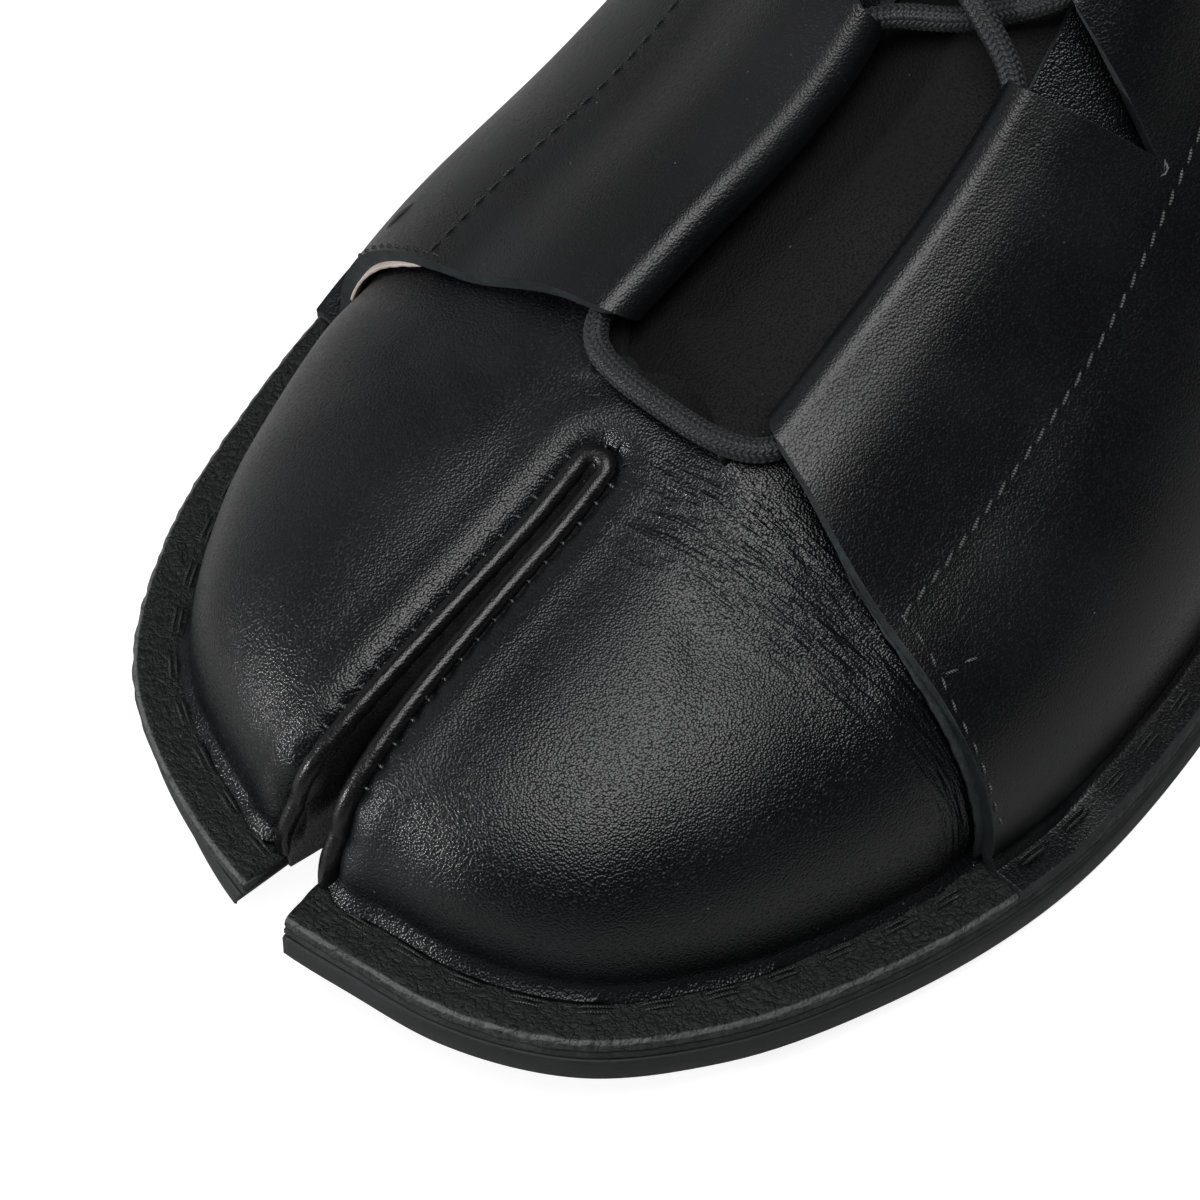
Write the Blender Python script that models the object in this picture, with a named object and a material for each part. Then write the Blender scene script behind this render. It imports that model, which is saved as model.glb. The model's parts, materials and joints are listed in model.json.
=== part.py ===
"""Left split-toe lace-up ankle boot: black leather stitched down onto a thin rubber sole.

One surface function gives the skin of the last: a meridian curve rises from each point of the sole
edge to the opening of the boot. The upper, quarters, tongue, gusset and lace all follow it.
Sizes are in millimetres, with +X to the toe, +Y to the outer side of the foot and +Z up, and the
meshes are scaled to metres. The floor is z = 0.
"""

import math

import bmesh
import bpy
import numpy as np

MM = 0.001
GAP = 0.3

# Sole layers and the rise of the sole along the foot
OUTSOLE = 3.3
MIDSOLE = 1.0
LEATHER = 1.9
INSOLE = 1.8
HEEL_HEIGHT = 12.0
HEEL_BREAST_X = -62.0
HEEL_INSET = 1.2
FOREFOOT_BACK_X = 15.0
FOREFOOT_FRONT_X = 57.0
TOE_X = 146.0
TOE_SPRING = 9.0
FLANGE_HEEL = 5.0
FLANGE_TOE = 7.2
FLANGE_TRIM = 0.3
TOE_UNDERCUT = 1.2
UNDERCUT_PLACES = (1.0, 1.05, 1.25, 1.4)
FOOT_FILLET = 1.3
FILLET_TURN = 0.3
MIDSOLE_INSET = 0.3
INSOLE_CLEARANCE = 0.8
BOARD_BASE = OUTSOLE + GAP + MIDSOLE + GAP
FLANGE_TOP = BOARD_BASE + LEATHER

# Edge of the sole, heel back round the outer side to the toe split and home round the inner side
SOLE_EDGE = (
    # along, across
    (-146.0, 3.0),
    (-138.0, 26.0),
    (-118.0, 38.0),
    (-85.0, 41.0),
    (-45.0, 42.5),
    (0.0, 48.0),
    (35.0, 55.0),
    (65.0, 57.3),
    (90.0, 54.8),
    (113.4, 46.4),
    (130.0, 36.6),
    (141.0, 25.2),
    (145.8, 11.0),
    (145.8, 0.0),
    (144.9, -12.0),
    (138.5, -27.5),
    (126.0, -43.3),
    (106.8, -52.6),
    (85.0, -56.6),
    (62.0, -57.3),
    (35.0, -52.5),
    (0.0, -43.5),
    (-45.0, -36.0),
    (-85.0, -35.0),
    (-118.0, -32.0),
    (-138.0, -20.0),
)
SPLIT_ROW = 14

# Opening of the boot and the arch of the wall, from the heel back (0) to the toe split (1)
LAST_SECTIONS = (
    # round, rim along, middle, half gap, height, skew, wall rise, bulge, crown run, outer slope, inner slope
    (0.00, -131.0, 4.0, 0.0, 126.0, 0.0, 42.0, 7.5, 40.0, 83.0, 83.0),
    (0.08, -125.0, 4.5, 18.0, 125.5, 0.0, 42.0, 7.5, 40.0, 84.0, 84.0),
    (0.16, -105.0, 5.0, 30.0, 123.0, 0.0, 42.0, 6.0, 40.0, 87.0, 87.0),
    (0.24, -80.0, 5.5, 33.5, 120.0, 0.0, 42.0, 4.5, 40.0, 88.0, 88.0),
    (0.32, -54.0, 6.0, 30.5, 120.0, 0.0, 42.0, 4.0, 40.0, 86.0, 84.0),
    (0.39, -33.0, 6.8, 20.5, 123.0, 0.0, 42.0, 3.5, 38.0, 78.0, 74.0),
    (0.44, -18.0, 7.6, 12.0, 118.0, 0.0, 40.0, 3.5, 36.0, 66.0, 58.0),
    (0.50, 4.0, 8.5, 8.6, 97.0, 0.0, 36.0, 3.5, 34.0, 52.0, 40.0),
    (0.56, 25.0, 8.6, 7.7, 78.5, 0.0, 31.0, 3.5, 30.0, 42.0, 28.0),
    (0.62, 46.0, 7.8, 7.7, 63.0, 0.0, 27.0, 3.5, 27.0, 35.0, 20.0),
    (0.70, 71.0, 3.2, 9.3, 50.5, 0.15, 23.0, 3.2, 24.0, 29.0, 15.0),
    (0.74, 80.5, 1.5, 9.8, 46.8, 0.21, 21.5, 2.8, 22.5, 25.0, 14.0),
    (0.765, 85.3, 0.9, 9.9, 45.1, 0.23, 21.0, 2.5, 22.0, 23.0, 14.0),
    (0.79, 86.0, 0.8, 9.0, 44.8, 0.23, 20.0, 2.3, 23.5, 21.0, 14.5),
    (0.82, 84.8, 0.8, 7.4, 45.1, 0.23, 20.0, 2.1, 27.0, 19.0, 15.0),
    (0.90, 82.8, 0.8, 3.8, 45.5, 0.23, 20.0, 1.8, 35.0, 17.0, 16.0),
    (1.00, 82.2, 0.8, 0.0, 45.5, 0.23, 20.0, 1.5, 42.0, 17.0, 17.0),
)

# Vamp line: the straight front edge of both quarters, seen from above
VAMP_LINE_X = 83.3
VAMP_LINE_SLANT = 0.23

# Toe split and its gusset, along an axis from the rear end of the split towards the toe
SPLIT_REAR = (93.0, -4.0)
SPLIT_ANGLE = math.radians(-9.7)
SPLIT_DIP = 2.2
SPLIT_DIP_WIDTH = 9.0
SPLIT_DIP_RUN = 8.0
SPLIT_DIP_FOOT = 0.2
SPLIT_DIP_TOP = 0.35
GUSSET_WALL = 2.3
GUSSET_BEAD = 0.9
BEAD_FLAT = 0.45
GUSSET_SETBACK = 0.1
GUSSET_SHARES = (1.0, 0.985, 0.96, 0.92, 0.86, 0.78, 0.68, 0.55, 0.4, 0.25, 0.12)
SLIT_REAR = 0.9
SLIT_FRONT = 4.2
SLIT_FLARE = 3
SPLIT_TOP = 0.95
SOLE_SLOT_HALF = 2.5
SOLE_SLOT_LENGTH = 18.0
SPLIT_FLOOR = 0.1
SPLIT_RUN_OUT = 10.0
CUTTER_TOP = 120.0
CUTTER_FLOOR = -5.0
CUTTER_REACH = 90.0

# Lace tunnels along the facings
LACE = 2.9
LACE_SEAT = 0.45
RIM_SETBACK = 2.6
TUNNEL_REACH = 20.0
TUNNEL_LIFT = 3.4
TUNNEL_FLAT = 6.0
TUNNEL_ROWS = (14.5, 9.5, 5.0)
COLLAR_LIFT = 0.4
COLLAR_ROUND = 0.36
FACING_ROUND = 0.42
CURL_END = math.radians(128.0)
CURL_ROWS = 5
LACE_IN = 4.3
BACK_SEAM_ROUND = 0.0008
QUARTER_FRONT_ROUND = 0.765
NOTCH_DEPTH = 20.0
NOTCH_MOUTH = 8.0
NOTCH_FLOOR = 0.1
NOTCH_HEIGHT = 16.0
NOTCHES = (
    # lower end at the fold, apex, upper end at the fold, as places round the sole edge
    (0.615, 0.583, 0.579),
    (0.519, 0.489, 0.484),
)
LACE_TOP_ROUND = 0.435
LACE_LIFT = LACE / 2 + LACE_SEAT
LACE_ROOM = 0.35
CROSSING_HALF = LACE / 2 + LACE_ROOM + NOTCH_FLOOR
NOTCH_LEAVE = 0.008
NOTCH_ENTER = 0.0
TUNNEL_TURN = 0.018
TUNNEL_PLACES = (0.71, 0.67)
RIM_OVER = 0.8
LACE_STEP = 4.8
BAR_AHEAD = 0.8
BAR_REACH = 3.6
MOUTH_IN = 1.6

# Tongue, between the same places round both sides
TONGUE_EDGE = 14.0
TONGUE_SINK = 0.45
TONGUE_TOP_ROUND = 0.41
TONGUE_FRONT_ROUND = 0.772
TONGUE_PROUD = 10.0
TONGUE_THICK = 1.9
TONGUE_ROWS = 13
TONGUE_COLUMNS = 9
# Arch of the tongue between its edges: places round the sole edge, and heights there
TONGUE_CROWN = ((0.41, 0.62, 0.74, 0.772), (6.0, 4.8, 3.3, 2.1))

# Fineness of the lofts
COLUMN_RUNS = (
    # from, to, columns: places round the sole edge, closer together at the heel and the toe
    (0.00, 0.16, 5),
    (0.16, 0.72, 16),
    (0.72, 1.00, 12),
)
# Rows up the wall, as shares of the way from its foot to the start of the tunnel
WALL_SHARES = (0.06, 0.14, 0.24, 0.36, 0.5, 0.65, 0.82, 1.0)
EDGE_POINTS = 80
LACE_BEVEL_RESOLUTION = 2
EDGE_SAMPLES = 4001
MERIDIAN_SAMPLES = 81
PLACE_STEP = 0.002
BEND_STATIONS = 8
BEND_MARGIN = 6.0
WELD = 1e-6
SHARP_ANGLE = math.radians(35.0)


def through(knots, values, at):
    """Cubic curve through the values at the knots, with slopes from the neighbouring rows."""
    slopes = np.gradient(values, knots, axis=0)
    cell = np.clip(np.searchsorted(knots, at, side="right") - 1, 0, len(knots) - 2)
    width = (knots[cell + 1] - knots[cell])[:, None]
    t = (at - knots[cell])[:, None] / width
    start = (2 * t**3 - 3 * t**2 + 1) * values[cell] + (t**3 - 2 * t**2 + t) * width * slopes[cell]
    end = (3 * t**2 - 2 * t**3) * values[cell + 1] + (t**3 - t**2) * width * slopes[cell + 1]
    return start + end


def smooth_step(value):
    """Rises from 0 to 1 with level ends as the value goes from 0 to 1."""
    t = np.clip(value, 0.0, 1.0)
    return t * t * (3.0 - 2.0 * t)


def sole_rise(x):
    """Height of the outsole's underside: flat at the ball, up to the heel and up at the toe."""
    toe = TOE_SPRING * np.clip((x - FOREFOOT_FRONT_X) / (TOE_X - FOREFOOT_FRONT_X), 0.0, None) ** 2
    arch = HEEL_HEIGHT * smooth_step((FOREFOOT_BACK_X - x) / (FOREFOOT_BACK_X - HEEL_BREAST_X))
    return toe + arch


def edge_tables():
    """The closed sole edge as dense points, with the signed place round it of each point."""
    rows = np.array(SOLE_EDGE)
    looped = np.vstack((rows, rows, rows))
    chords = np.linalg.norm(np.diff(looped, axis=0), axis=1)
    knots = np.concatenate(((0.0,), np.cumsum(chords)))
    first, last = knots[len(rows)], knots[2 * len(rows)]
    at = np.linspace(first, last, EDGE_SAMPLES)
    points = through(knots, looped, at)
    steps = np.linalg.norm(np.diff(points, axis=0), axis=1)
    arc = np.concatenate(((0.0,), np.cumsum(steps)))
    split = arc[np.argmin(np.abs(at - knots[len(rows) + SPLIT_ROW]))]
    places = np.where(arc <= split, arc / split, 2.0 - (arc[-1] - arc) / (arc[-1] - split))
    return places, points


EDGE_PLACES, EDGE_XY = edge_tables()


def sole_edge(place, inset=0.0):
    """Point and outward direction of the sole edge: 0 heel back, 1 toe split, negative inner side."""
    turn = np.mod(place, 2.0)

    def at(value):
        wrapped = np.mod(value, 2.0)
        return np.stack([np.interp(wrapped, EDGE_PLACES, EDGE_XY[:, k]) for k in (0, 1)], -1)

    along = at(turn + PLACE_STEP) - at(turn - PLACE_STEP)
    along /= np.linalg.norm(along, axis=-1, keepdims=True)
    outward = np.stack((-along[..., 1], along[..., 0]), -1)
    return at(turn) - outward * np.expand_dims(inset, -1), outward


def section_at(place):
    """Rows of the section table at signed places: the inner side has its own slope and a mirrored gap."""
    rows = np.array(LAST_SECTIONS)
    mirror = rows[::-1].copy()
    mirror[:, 0] = -mirror[:, 0]
    mirror[:, 3] = -mirror[:, 3]
    mirror[:, -2:] = mirror[:, :-3:-1]
    turn = np.vstack((mirror[:-1], rows))
    before, after = turn[:-1].copy(), turn[1:].copy()
    before[:, 0] -= 2.0
    after[:, 0] += 2.0
    looped = np.vstack((before, turn, after))
    wrapped = np.mod(place + 1.0, 2.0) - 1.0
    return through(looped[:, 0], looped[:, 1:], wrapped)


def meridian(place):
    """Four control points of the wall's curve at each place, foot to rim, with the outward direction."""
    edge, outward = sole_edge(place)
    flange = np.interp(edge[:, 0], (-TOE_X, TOE_X), (FLANGE_HEEL, FLANGE_TOE))
    foot_xy = edge - outward * flange[:, None]
    rim_x, middle, half, rim_z, skew, rise, bulge, run, slope, _ = section_at(place).T
    foot = np.column_stack((foot_xy, sole_rise(foot_xy[:, 0]) + FLANGE_TOP))
    rim = np.column_stack((rim_x + skew * half, middle + half, rim_z))
    away = foot_xy - rim[:, :2]
    away /= np.linalg.norm(away, axis=1, keepdims=True)
    low = foot + np.column_stack((outward * bulge[:, None], rise))
    dip = np.radians(slope)
    high = rim + np.column_stack((away * (run * np.cos(dip))[:, None], -run * np.sin(dip)))
    return np.stack((foot, low, high, rim), 1), outward


def split_axes():
    along = np.array((math.cos(SPLIT_ANGLE), math.sin(SPLIT_ANGLE)))
    return np.array(SPLIT_REAR), along, np.array((-along[1], along[0]))


def split_dip(points):
    """Depth of the soft trough that the two toe lobes make along the split."""
    rear, along, across = split_axes()
    offset = points[..., :2] - rear
    forward = smooth_step((offset @ along + SPLIT_DIP_RUN) / (2 * SPLIT_DIP_RUN))
    return SPLIT_DIP * forward * np.exp(-((offset @ across / SPLIT_DIP_WIDTH) ** 2))


def skin(place, t):
    """Outer skin of the last: the meridian's cubic curve at t, 0 foot to 1 rim, less the toe trough."""
    control, outward = meridian(place)
    t = np.asarray(t)[:, None]
    weights = ((1 - t) ** 3, 3 * (1 - t) ** 2 * t, 3 * (1 - t) * t**2, t**3)
    points = sum(weight * control[:, k] for k, weight in enumerate(weights))
    top = smooth_step(t / SPLIT_DIP_TOP)
    inward = -np.concatenate((outward * (1.0 - top), top), axis=1)
    inward /= np.linalg.norm(inward, axis=1, keepdims=True)
    return points + inward * (split_dip(points) * smooth_step(t[:, 0] / SPLIT_DIP_FOOT))[:, None]


def t_from_rim(place, distance):
    """Meridian parameter at a distance down the wall from the rim, past it where negative."""
    samples = np.linspace(0.0, 1.0, MERIDIAN_SAMPLES)
    found = np.empty(len(place))
    for k, (spot, reach) in enumerate(zip(place, np.broadcast_to(distance, place.shape))):
        line = skin(np.full(len(samples), spot), samples)
        steps = np.linalg.norm(np.diff(line, axis=0), axis=1)
        to_rim = np.concatenate((np.cumsum(steps[::-1])[::-1], (0.0,)))
        found[k] = np.interp(reach, to_rim[::-1], samples[::-1])
        if reach < 0.0:
            found[k] = 1.0 - reach / (steps[-1] / (samples[-1] - samples[-2]))
    return found


def skin_normal(place, t):
    """Outward unit normal of the skin."""
    step = 1e-3
    up = skin(place, t + step) - skin(place, t - step)
    round_ = skin(place + step, t) - skin(place - step, t)
    normal = np.cross(up, round_)
    return normal / np.linalg.norm(normal, axis=1, keepdims=True)


def off_skin(place, distance, height):
    """Points at a distance from the rim and a height off the skin."""
    place = np.atleast_1d(np.asarray(place, float))
    t = t_from_rim(place, distance)
    return skin(place, t) + skin_normal(place, t) * np.broadcast_to(height, place.shape)[:, None]


def mesh_object(name, points, faces, material):
    """A mesh object in metres, its faces turned outwards."""
    mesh = bpy.data.meshes.new(name)
    mesh.from_pydata((np.asarray(points) * MM).tolist(), [], faces)
    shape = bmesh.new()
    shape.from_mesh(mesh)
    bmesh.ops.recalc_face_normals(shape, faces=shape.faces)
    shape.to_mesh(mesh)
    shape.free()
    mesh.materials.append(material)
    mesh.shade_smooth()
    mesh.set_sharp_from_angle(angle=SHARP_ANGLE)
    return bpy.data.objects.new(name, mesh)


def shell(name, outer, inner, material, ring):
    """A wall between two grids of points, closed at its edges, and round on itself where ring is set."""
    rows, columns = outer.shape[:2]
    points = np.concatenate((outer.reshape(-1, 3), inner.reshape(-1, 3)))
    index = np.arange(len(points)).reshape(2, rows, columns)
    if ring:
        index = np.concatenate((index, index[:, :, :1]), axis=2)
    outer_id, inner_id = index
    sheets = [grid_faces(outer_id), grid_faces(inner_id)]
    borders = [(outer_id[0], inner_id[0]), (outer_id[-1], inner_id[-1])]
    if not ring:
        borders += [(outer_id[:, 0], inner_id[:, 0]), (outer_id[:, -1], inner_id[:, -1])]
    sheets += [grid_faces(np.stack(pair)) for pair in borders]
    return mesh_object(name, points, [face for sheet in sheets for face in sheet], material)


def grid_faces(index):
    """Two triangles for each cell of a grid, all cut along the same diagonal."""
    low, high, far, near = index[:-1, :-1], index[1:, :-1], index[1:, 1:], index[:-1, 1:]
    pairs = [np.stack(corners, -1).reshape(-1, 3) for corners in ((low, high, far), (low, far, near))]
    return np.concatenate(pairs).tolist()


def tube_loft(name, sections, material):
    """Closed sections joined one to the next, with flat ends."""
    count, sides = sections.shape[:2]
    index = np.arange(count * sides).reshape(count, sides)
    looped = np.concatenate((index, index[:, :1]), axis=1)
    faces = grid_faces(looped) + [index[0].tolist(), index[-1][::-1].tolist()]
    return mesh_object(name, sections.reshape(-1, 3), faces, material)


def prism(name, outline, low, high, material):
    """An outline carried straight up from low, which may differ from point to point, to high."""
    outline = np.asarray(outline, float)
    sections = [np.column_stack((outline, np.broadcast_to(z, len(outline)))) for z in (low, high)]
    return tube_loft(name, np.stack(sections), material)


def bent_sheet(name, outline, low, high, material):
    """A flat outline cut into strips across the foot and bent to the rise of the sole."""
    shape = bmesh.new()
    shape.faces.new([shape.verts.new((x, y, 0.0)) for x, y in outline])
    stations = np.concatenate((
        np.linspace(HEEL_BREAST_X, FOREFOOT_BACK_X, BEND_STATIONS),
        np.linspace(FOREFOOT_FRONT_X, TOE_X - BEND_MARGIN, BEND_STATIONS),
    ))
    for x in stations:
        whole = shape.verts[:] + shape.edges[:] + shape.faces[:]
        bmesh.ops.bisect_plane(shape, geom=whole, plane_co=(x, 0.0, 0.0), plane_no=(1.0, 0.0, 0.0))
    added = bmesh.ops.extrude_face_region(shape, geom=shape.faces[:])["geom"]
    raised = {item for item in added if isinstance(item, bmesh.types.BMVert)}
    for vert in shape.verts:
        vert.co.z = float(sole_rise(vert.co.x)) + (high if vert in raised else low)
    bmesh.ops.triangulate(shape, faces=shape.faces[:])
    points = [tuple(vert.co) for vert in shape.verts]
    shape.verts.index_update()
    faces = [[vert.index for vert in face.verts] for face in shape.faces]
    shape.free()
    return mesh_object(name, points, faces, material)


def edge_outline(inset):
    """The sole edge moved inwards, and a little more under the big toe."""
    places = np.linspace(0.0, 2.0, EDGE_POINTS, endpoint=False)
    undercut = np.interp(places, UNDERCUT_PLACES, (0.0, TOE_UNDERCUT, TOE_UNDERCUT, 0.0))
    return sole_edge(places, inset + undercut)[0]


def feather_outline(inset):
    """Line where the wall meets the sole, moved inwards."""
    places = np.linspace(-1.0, 1.0, EDGE_POINTS, endpoint=False)
    control, outward = meridian(places)
    return control[:, 0, :2] - outward * inset


def cut(target, cutter):
    modifier = target.modifiers.new(cutter.name, "BOOLEAN")
    modifier.operation = "DIFFERENCE"
    modifier.object = cutter


def wall_grid(places, wall_t, lift, fillet):
    """Rows of a leather piece from the edge of its flange, round its foot, up the wall."""
    control, outward = meridian(places)
    edge, _ = sole_edge(places, np.full(len(places), FLANGE_TRIM))
    foot = control[:, 0]
    base = sole_rise(edge[:, 0]) + FLANGE_TOP + lift
    near = foot + np.column_stack((outward * (fillet + lift), np.full(len(places), lift)))
    turn = FILLET_TURN * fillet + lift
    corner = foot + np.column_stack((outward * turn, np.full(len(places), turn)))
    rows = [np.column_stack((edge, base)), near, corner]
    for t in wall_t:
        t_row = np.broadcast_to(t, places.shape)
        rows.append(skin(places, t_row) + lift * skin_normal(places, t_row))
    return np.stack(rows)


def grid_normals(grid, ring):
    """Outward unit normals of a grid whose rows run up the wall and columns round the foot."""
    padded = np.concatenate((grid[:, -1:], grid, grid[:, :1]), axis=1) if ring else grid
    up = np.gradient(padded, axis=0)
    along = np.gradient(padded, axis=1)
    normals = np.cross(up, along)
    normals /= np.linalg.norm(normals, axis=2, keepdims=True)
    return normals[:, 1:-1] if ring else normals


def round_places():
    """Places of the wall's columns from the heel back to the toe split, on the outer side."""
    runs = [np.linspace(first, last, count, endpoint=False) for first, last, count in COLUMN_RUNS]
    return np.concatenate((*runs, (1.0,)))


def make_upper(material):
    half = round_places()
    places = np.concatenate((-half[:0:-1], half[:-1]))
    start_t = t_from_rim(places, TUNNEL_REACH)
    rim_t = t_from_rim(places, RIM_SETBACK)
    wall_t = [share * start_t for share in WALL_SHARES] + [(start_t + rim_t) / 2, rim_t]
    outer = wall_grid(places, wall_t, 0.0, FOOT_FILLET)
    normals = grid_normals(outer, True)
    normals[0] = normals[1] = (0.0, 0.0, 1.0)
    return shell("upper", outer, outer - LEATHER * normals, material, True)


def tunnel_lift(place):
    """Share of the lace tunnel's height: full along the facing, low along the collar."""
    facing = smooth_step((np.abs(place) - COLLAR_ROUND) / (FACING_ROUND - COLLAR_ROUND))
    return COLLAR_LIFT + (1.0 - COLLAR_LIFT) * facing


def make_quarter(name, side, material):
    """One quarter: flange, wall, lifted tunnel and the edge curled under round the lace."""
    shared = round_places()
    shared = shared[(shared > BACK_SEAM_ROUND) & (shared < QUARTER_FRONT_ROUND)]
    places = side * np.concatenate(((BACK_SEAM_ROUND,), shared, (QUARTER_FRONT_ROUND,)))
    start_t = t_from_rim(places, TUNNEL_REACH)
    flat = wall_grid(places, [share * start_t for share in WALL_SHARES], GAP, FOOT_FILLET + LEATHER)
    full = GAP + TUNNEL_LIFT * tunnel_lift(places)
    curl = (full + LEATHER / 2) / 2
    inside = curl - LEATHER / 2
    rows = []
    for reach in TUNNEL_ROWS:
        height = GAP + (full - GAP) * smooth_step((TUNNEL_REACH - reach) / (TUNNEL_REACH - TUNNEL_FLAT))
        rows.append(off_skin(places, reach, height))
    for angle in np.linspace(0.0, CURL_END, CURL_ROWS):
        rows.append(off_skin(places, curl - inside * math.sin(angle), curl + inside * math.cos(angle)))
    inner = np.concatenate((flat, np.stack(rows)))
    if side < 0:
        inner = inner[:, ::-1]
    normals = grid_normals(inner, False)
    normals[0] = normals[1] = (0.0, 0.0, 1.0)
    return shell(name, inner + LEATHER * normals, inner, material, False)


def make_tongue(material):
    """A strip under both facings, arched between two edges that lie inside the upper."""
    places = np.linspace(TONGUE_TOP_ROUND, TONGUE_FRONT_ROUND, TONGUE_ROWS)
    depth = -(LEATHER + TONGUE_SINK)
    edges = np.stack([off_skin(side * places, TONGUE_EDGE, depth) for side in (1, -1)])
    rise = edges[:, :1] - edges[:, 1:2]
    rise /= np.linalg.norm(rise, axis=2, keepdims=True)
    edges = np.concatenate((edges[:, :1] + TONGUE_PROUD * rise, edges), axis=1)
    crown = np.interp(np.concatenate(((places[0],), places)), TONGUE_CROWN[0], TONGUE_CROWN[1])
    share = np.linspace(0.0, 1.0, TONGUE_COLUMNS)[None, :, None]
    flat = edges[0][:, None] * (1.0 - share) + edges[1][:, None] * share
    chord = edges[1] - edges[0]
    axis = np.gradient(edges.mean(axis=0), axis=0)
    up = np.cross(chord, axis)
    up *= np.sign(up[:, 2:])
    up /= np.linalg.norm(up, axis=1, keepdims=True)
    top = flat + up[:, None] * (4.0 * share * (1.0 - share) * crown[:, None, None])
    normals = np.cross(np.gradient(top, axis=0), np.gradient(top, axis=1))
    normals /= np.linalg.norm(normals, axis=2, keepdims=True)
    normals *= np.sign(normals[..., 2:])
    return shell("tongue", top, top - TONGUE_THICK * normals, material, False)


def split_profile():
    """Height of the skin above the split's axis, as distances forward of its rear end and heights."""
    t = np.linspace(0.0, SPLIT_TOP, MERIDIAN_SAMPLES)
    line = skin(np.ones(len(t)), t)
    rear, along, _ = split_axes()
    forward = (line[:, :2] - rear) @ along
    front = np.argmax(forward)
    return forward[front:][::-1], line[front:, 2][::-1]


def gusset_offset(forward, front):
    """Half distance between the middles of the gusset's two walls."""
    share = np.clip(forward / front, 0.0, 1.0)
    return (SLIT_REAR + (SLIT_FRONT - SLIT_REAR) * share**SLIT_FLARE + GUSSET_WALL) / 2


def make_gusset(material):
    """A hairpin strip on edge: two walls along the split, joined by a tight turn at its rear end."""
    reach, height = split_profile()
    front = reach[-1] - GUSSET_SETBACK
    leg = front * np.array(GUSSET_SHARES)
    offset = gusset_offset(leg, front)
    turn = np.linspace(math.pi / 2, 3 * math.pi / 2, 7)
    radius = gusset_offset(0.0, front)
    forward = np.concatenate((leg, radius * np.cos(turn), leg[::-1]))
    sideways = np.concatenate((offset, radius * np.sin(turn), -offset[::-1]))
    rear, along, across = split_axes()
    path = rear + forward[:, None] * along + sideways[:, None] * across
    heading = np.gradient(path, axis=0)
    heading /= np.linalg.norm(heading, axis=1, keepdims=True)
    aside = np.stack((-heading[:, 1], heading[:, 0]), -1)
    top = np.interp(forward, reach, height) + GUSSET_BEAD
    low = sole_rise(path[:, 0]) + FLANGE_TOP + GAP
    half, bead = GUSSET_WALL / 2, GUSSET_BEAD
    corners = ((-1.0, None), (-1.0, -bead), (-BEAD_FLAT, 0.0), (BEAD_FLAT, 0.0), (1.0, -bead), (1.0, None))
    rings = []
    for reach_out, drop in corners:
        z = low if drop is None else top + drop
        rings.append(np.column_stack((path + aside * half * reach_out, z)))
    return tube_loft("toe_gusset", np.stack(rings, 1), material)


def split_cutter(material):
    """The opening in the upper that the gusset stands in, down to the top of the flange."""
    front = split_profile()[0][-1]
    room = GUSSET_WALL / 2 + GAP
    radius = gusset_offset(0.0, front) + room
    turn = np.radians((8.0, 30.0, 60.0))
    leg = np.append(front * np.linspace(0.0, 1.0, 11), front + SPLIT_RUN_OUT)
    forward = np.concatenate((-radius * np.cos(turn), leg))
    half = np.concatenate((radius * np.sin(turn), gusset_offset(leg, front) + room))
    rear, along, across = split_axes()
    rings = []
    for sideways, raised in ((-half, False), (half, False), (half, True), (-half, True)):
        plan = rear + forward[:, None] * along + sideways[:, None] * across
        low = sole_rise(plan[:, 0]) + FLANGE_TOP + SPLIT_FLOOR
        rings.append(np.column_stack((plan, np.full(len(plan), CUTTER_TOP) if raised else low)))
    return tube_loft("split_cutter", np.stack(rings, 1), material)


def slot_cutter(material):
    """The round-ended slot in the front of the sole layers."""
    rear, along, across = split_axes()
    end = (np.array(SOLE_EDGE[SPLIT_ROW]) - rear) @ along - SOLE_SLOT_LENGTH + SOLE_SLOT_HALF
    turn = np.linspace(math.pi / 2, 3 * math.pi / 2, 9)
    run_out = (end + CUTTER_REACH,)
    forward = np.concatenate((run_out, end + SOLE_SLOT_HALF * np.cos(turn), run_out))
    sideways = np.concatenate(((SOLE_SLOT_HALF,), SOLE_SLOT_HALF * np.sin(turn), (-SOLE_SLOT_HALF,)))
    outline = rear + forward[:, None] * along + sideways[:, None] * across
    return prism("slot_cutter", outline, CUTTER_FLOOR, CUTTER_TOP, material)


def vamp_line_cutter(material):
    """Everything ahead of the quarters' straight front edge."""
    corners = ((0.0, 1.0), (0.0, -1.0), (1.0, -1.0), (1.0, 1.0))
    outline = [(VAMP_LINE_X + CUTTER_REACH * (VAMP_LINE_SLANT * y + x), CUTTER_REACH * y) for x, y in corners]
    return prism("vamp_line_cutter", outline, CUTTER_FLOOR, CUTTER_TOP, material)


def notch_cutter(name, side, row, material):
    """A wedge through the facing: its point at the tunnel's seam and its mouth past the fold."""
    lower, apex, upper = (side * place for place in row)
    places = np.array((lower, apex, upper))
    reach = np.array((-NOTCH_MOUTH, NOTCH_DEPTH, -NOTCH_MOUTH))
    floor = off_skin(places, reach, NOTCH_FLOOR)
    normal = skin_normal(places[1:2], t_from_rim(places[1:2], TUNNEL_FLAT))
    return tube_loft(name, np.stack((floor, floor + NOTCH_HEIGHT * normal)), material)


def tunnel_mouth(side):
    """Where the cord comes out from under the front corner of a facing, at the vamp line."""
    places = side * np.linspace(TUNNEL_PLACES[0], QUARTER_FRONT_ROUND, MERIDIAN_SAMPLES)
    line = off_skin(places, MOUTH_IN, LACE_LIFT)
    ahead = line[:, 0] - VAMP_LINE_SLANT * line[:, 1] - VAMP_LINE_X
    return np.array([np.interp(BAR_AHEAD, ahead, line[:, k]) for k in range(3)])


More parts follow.
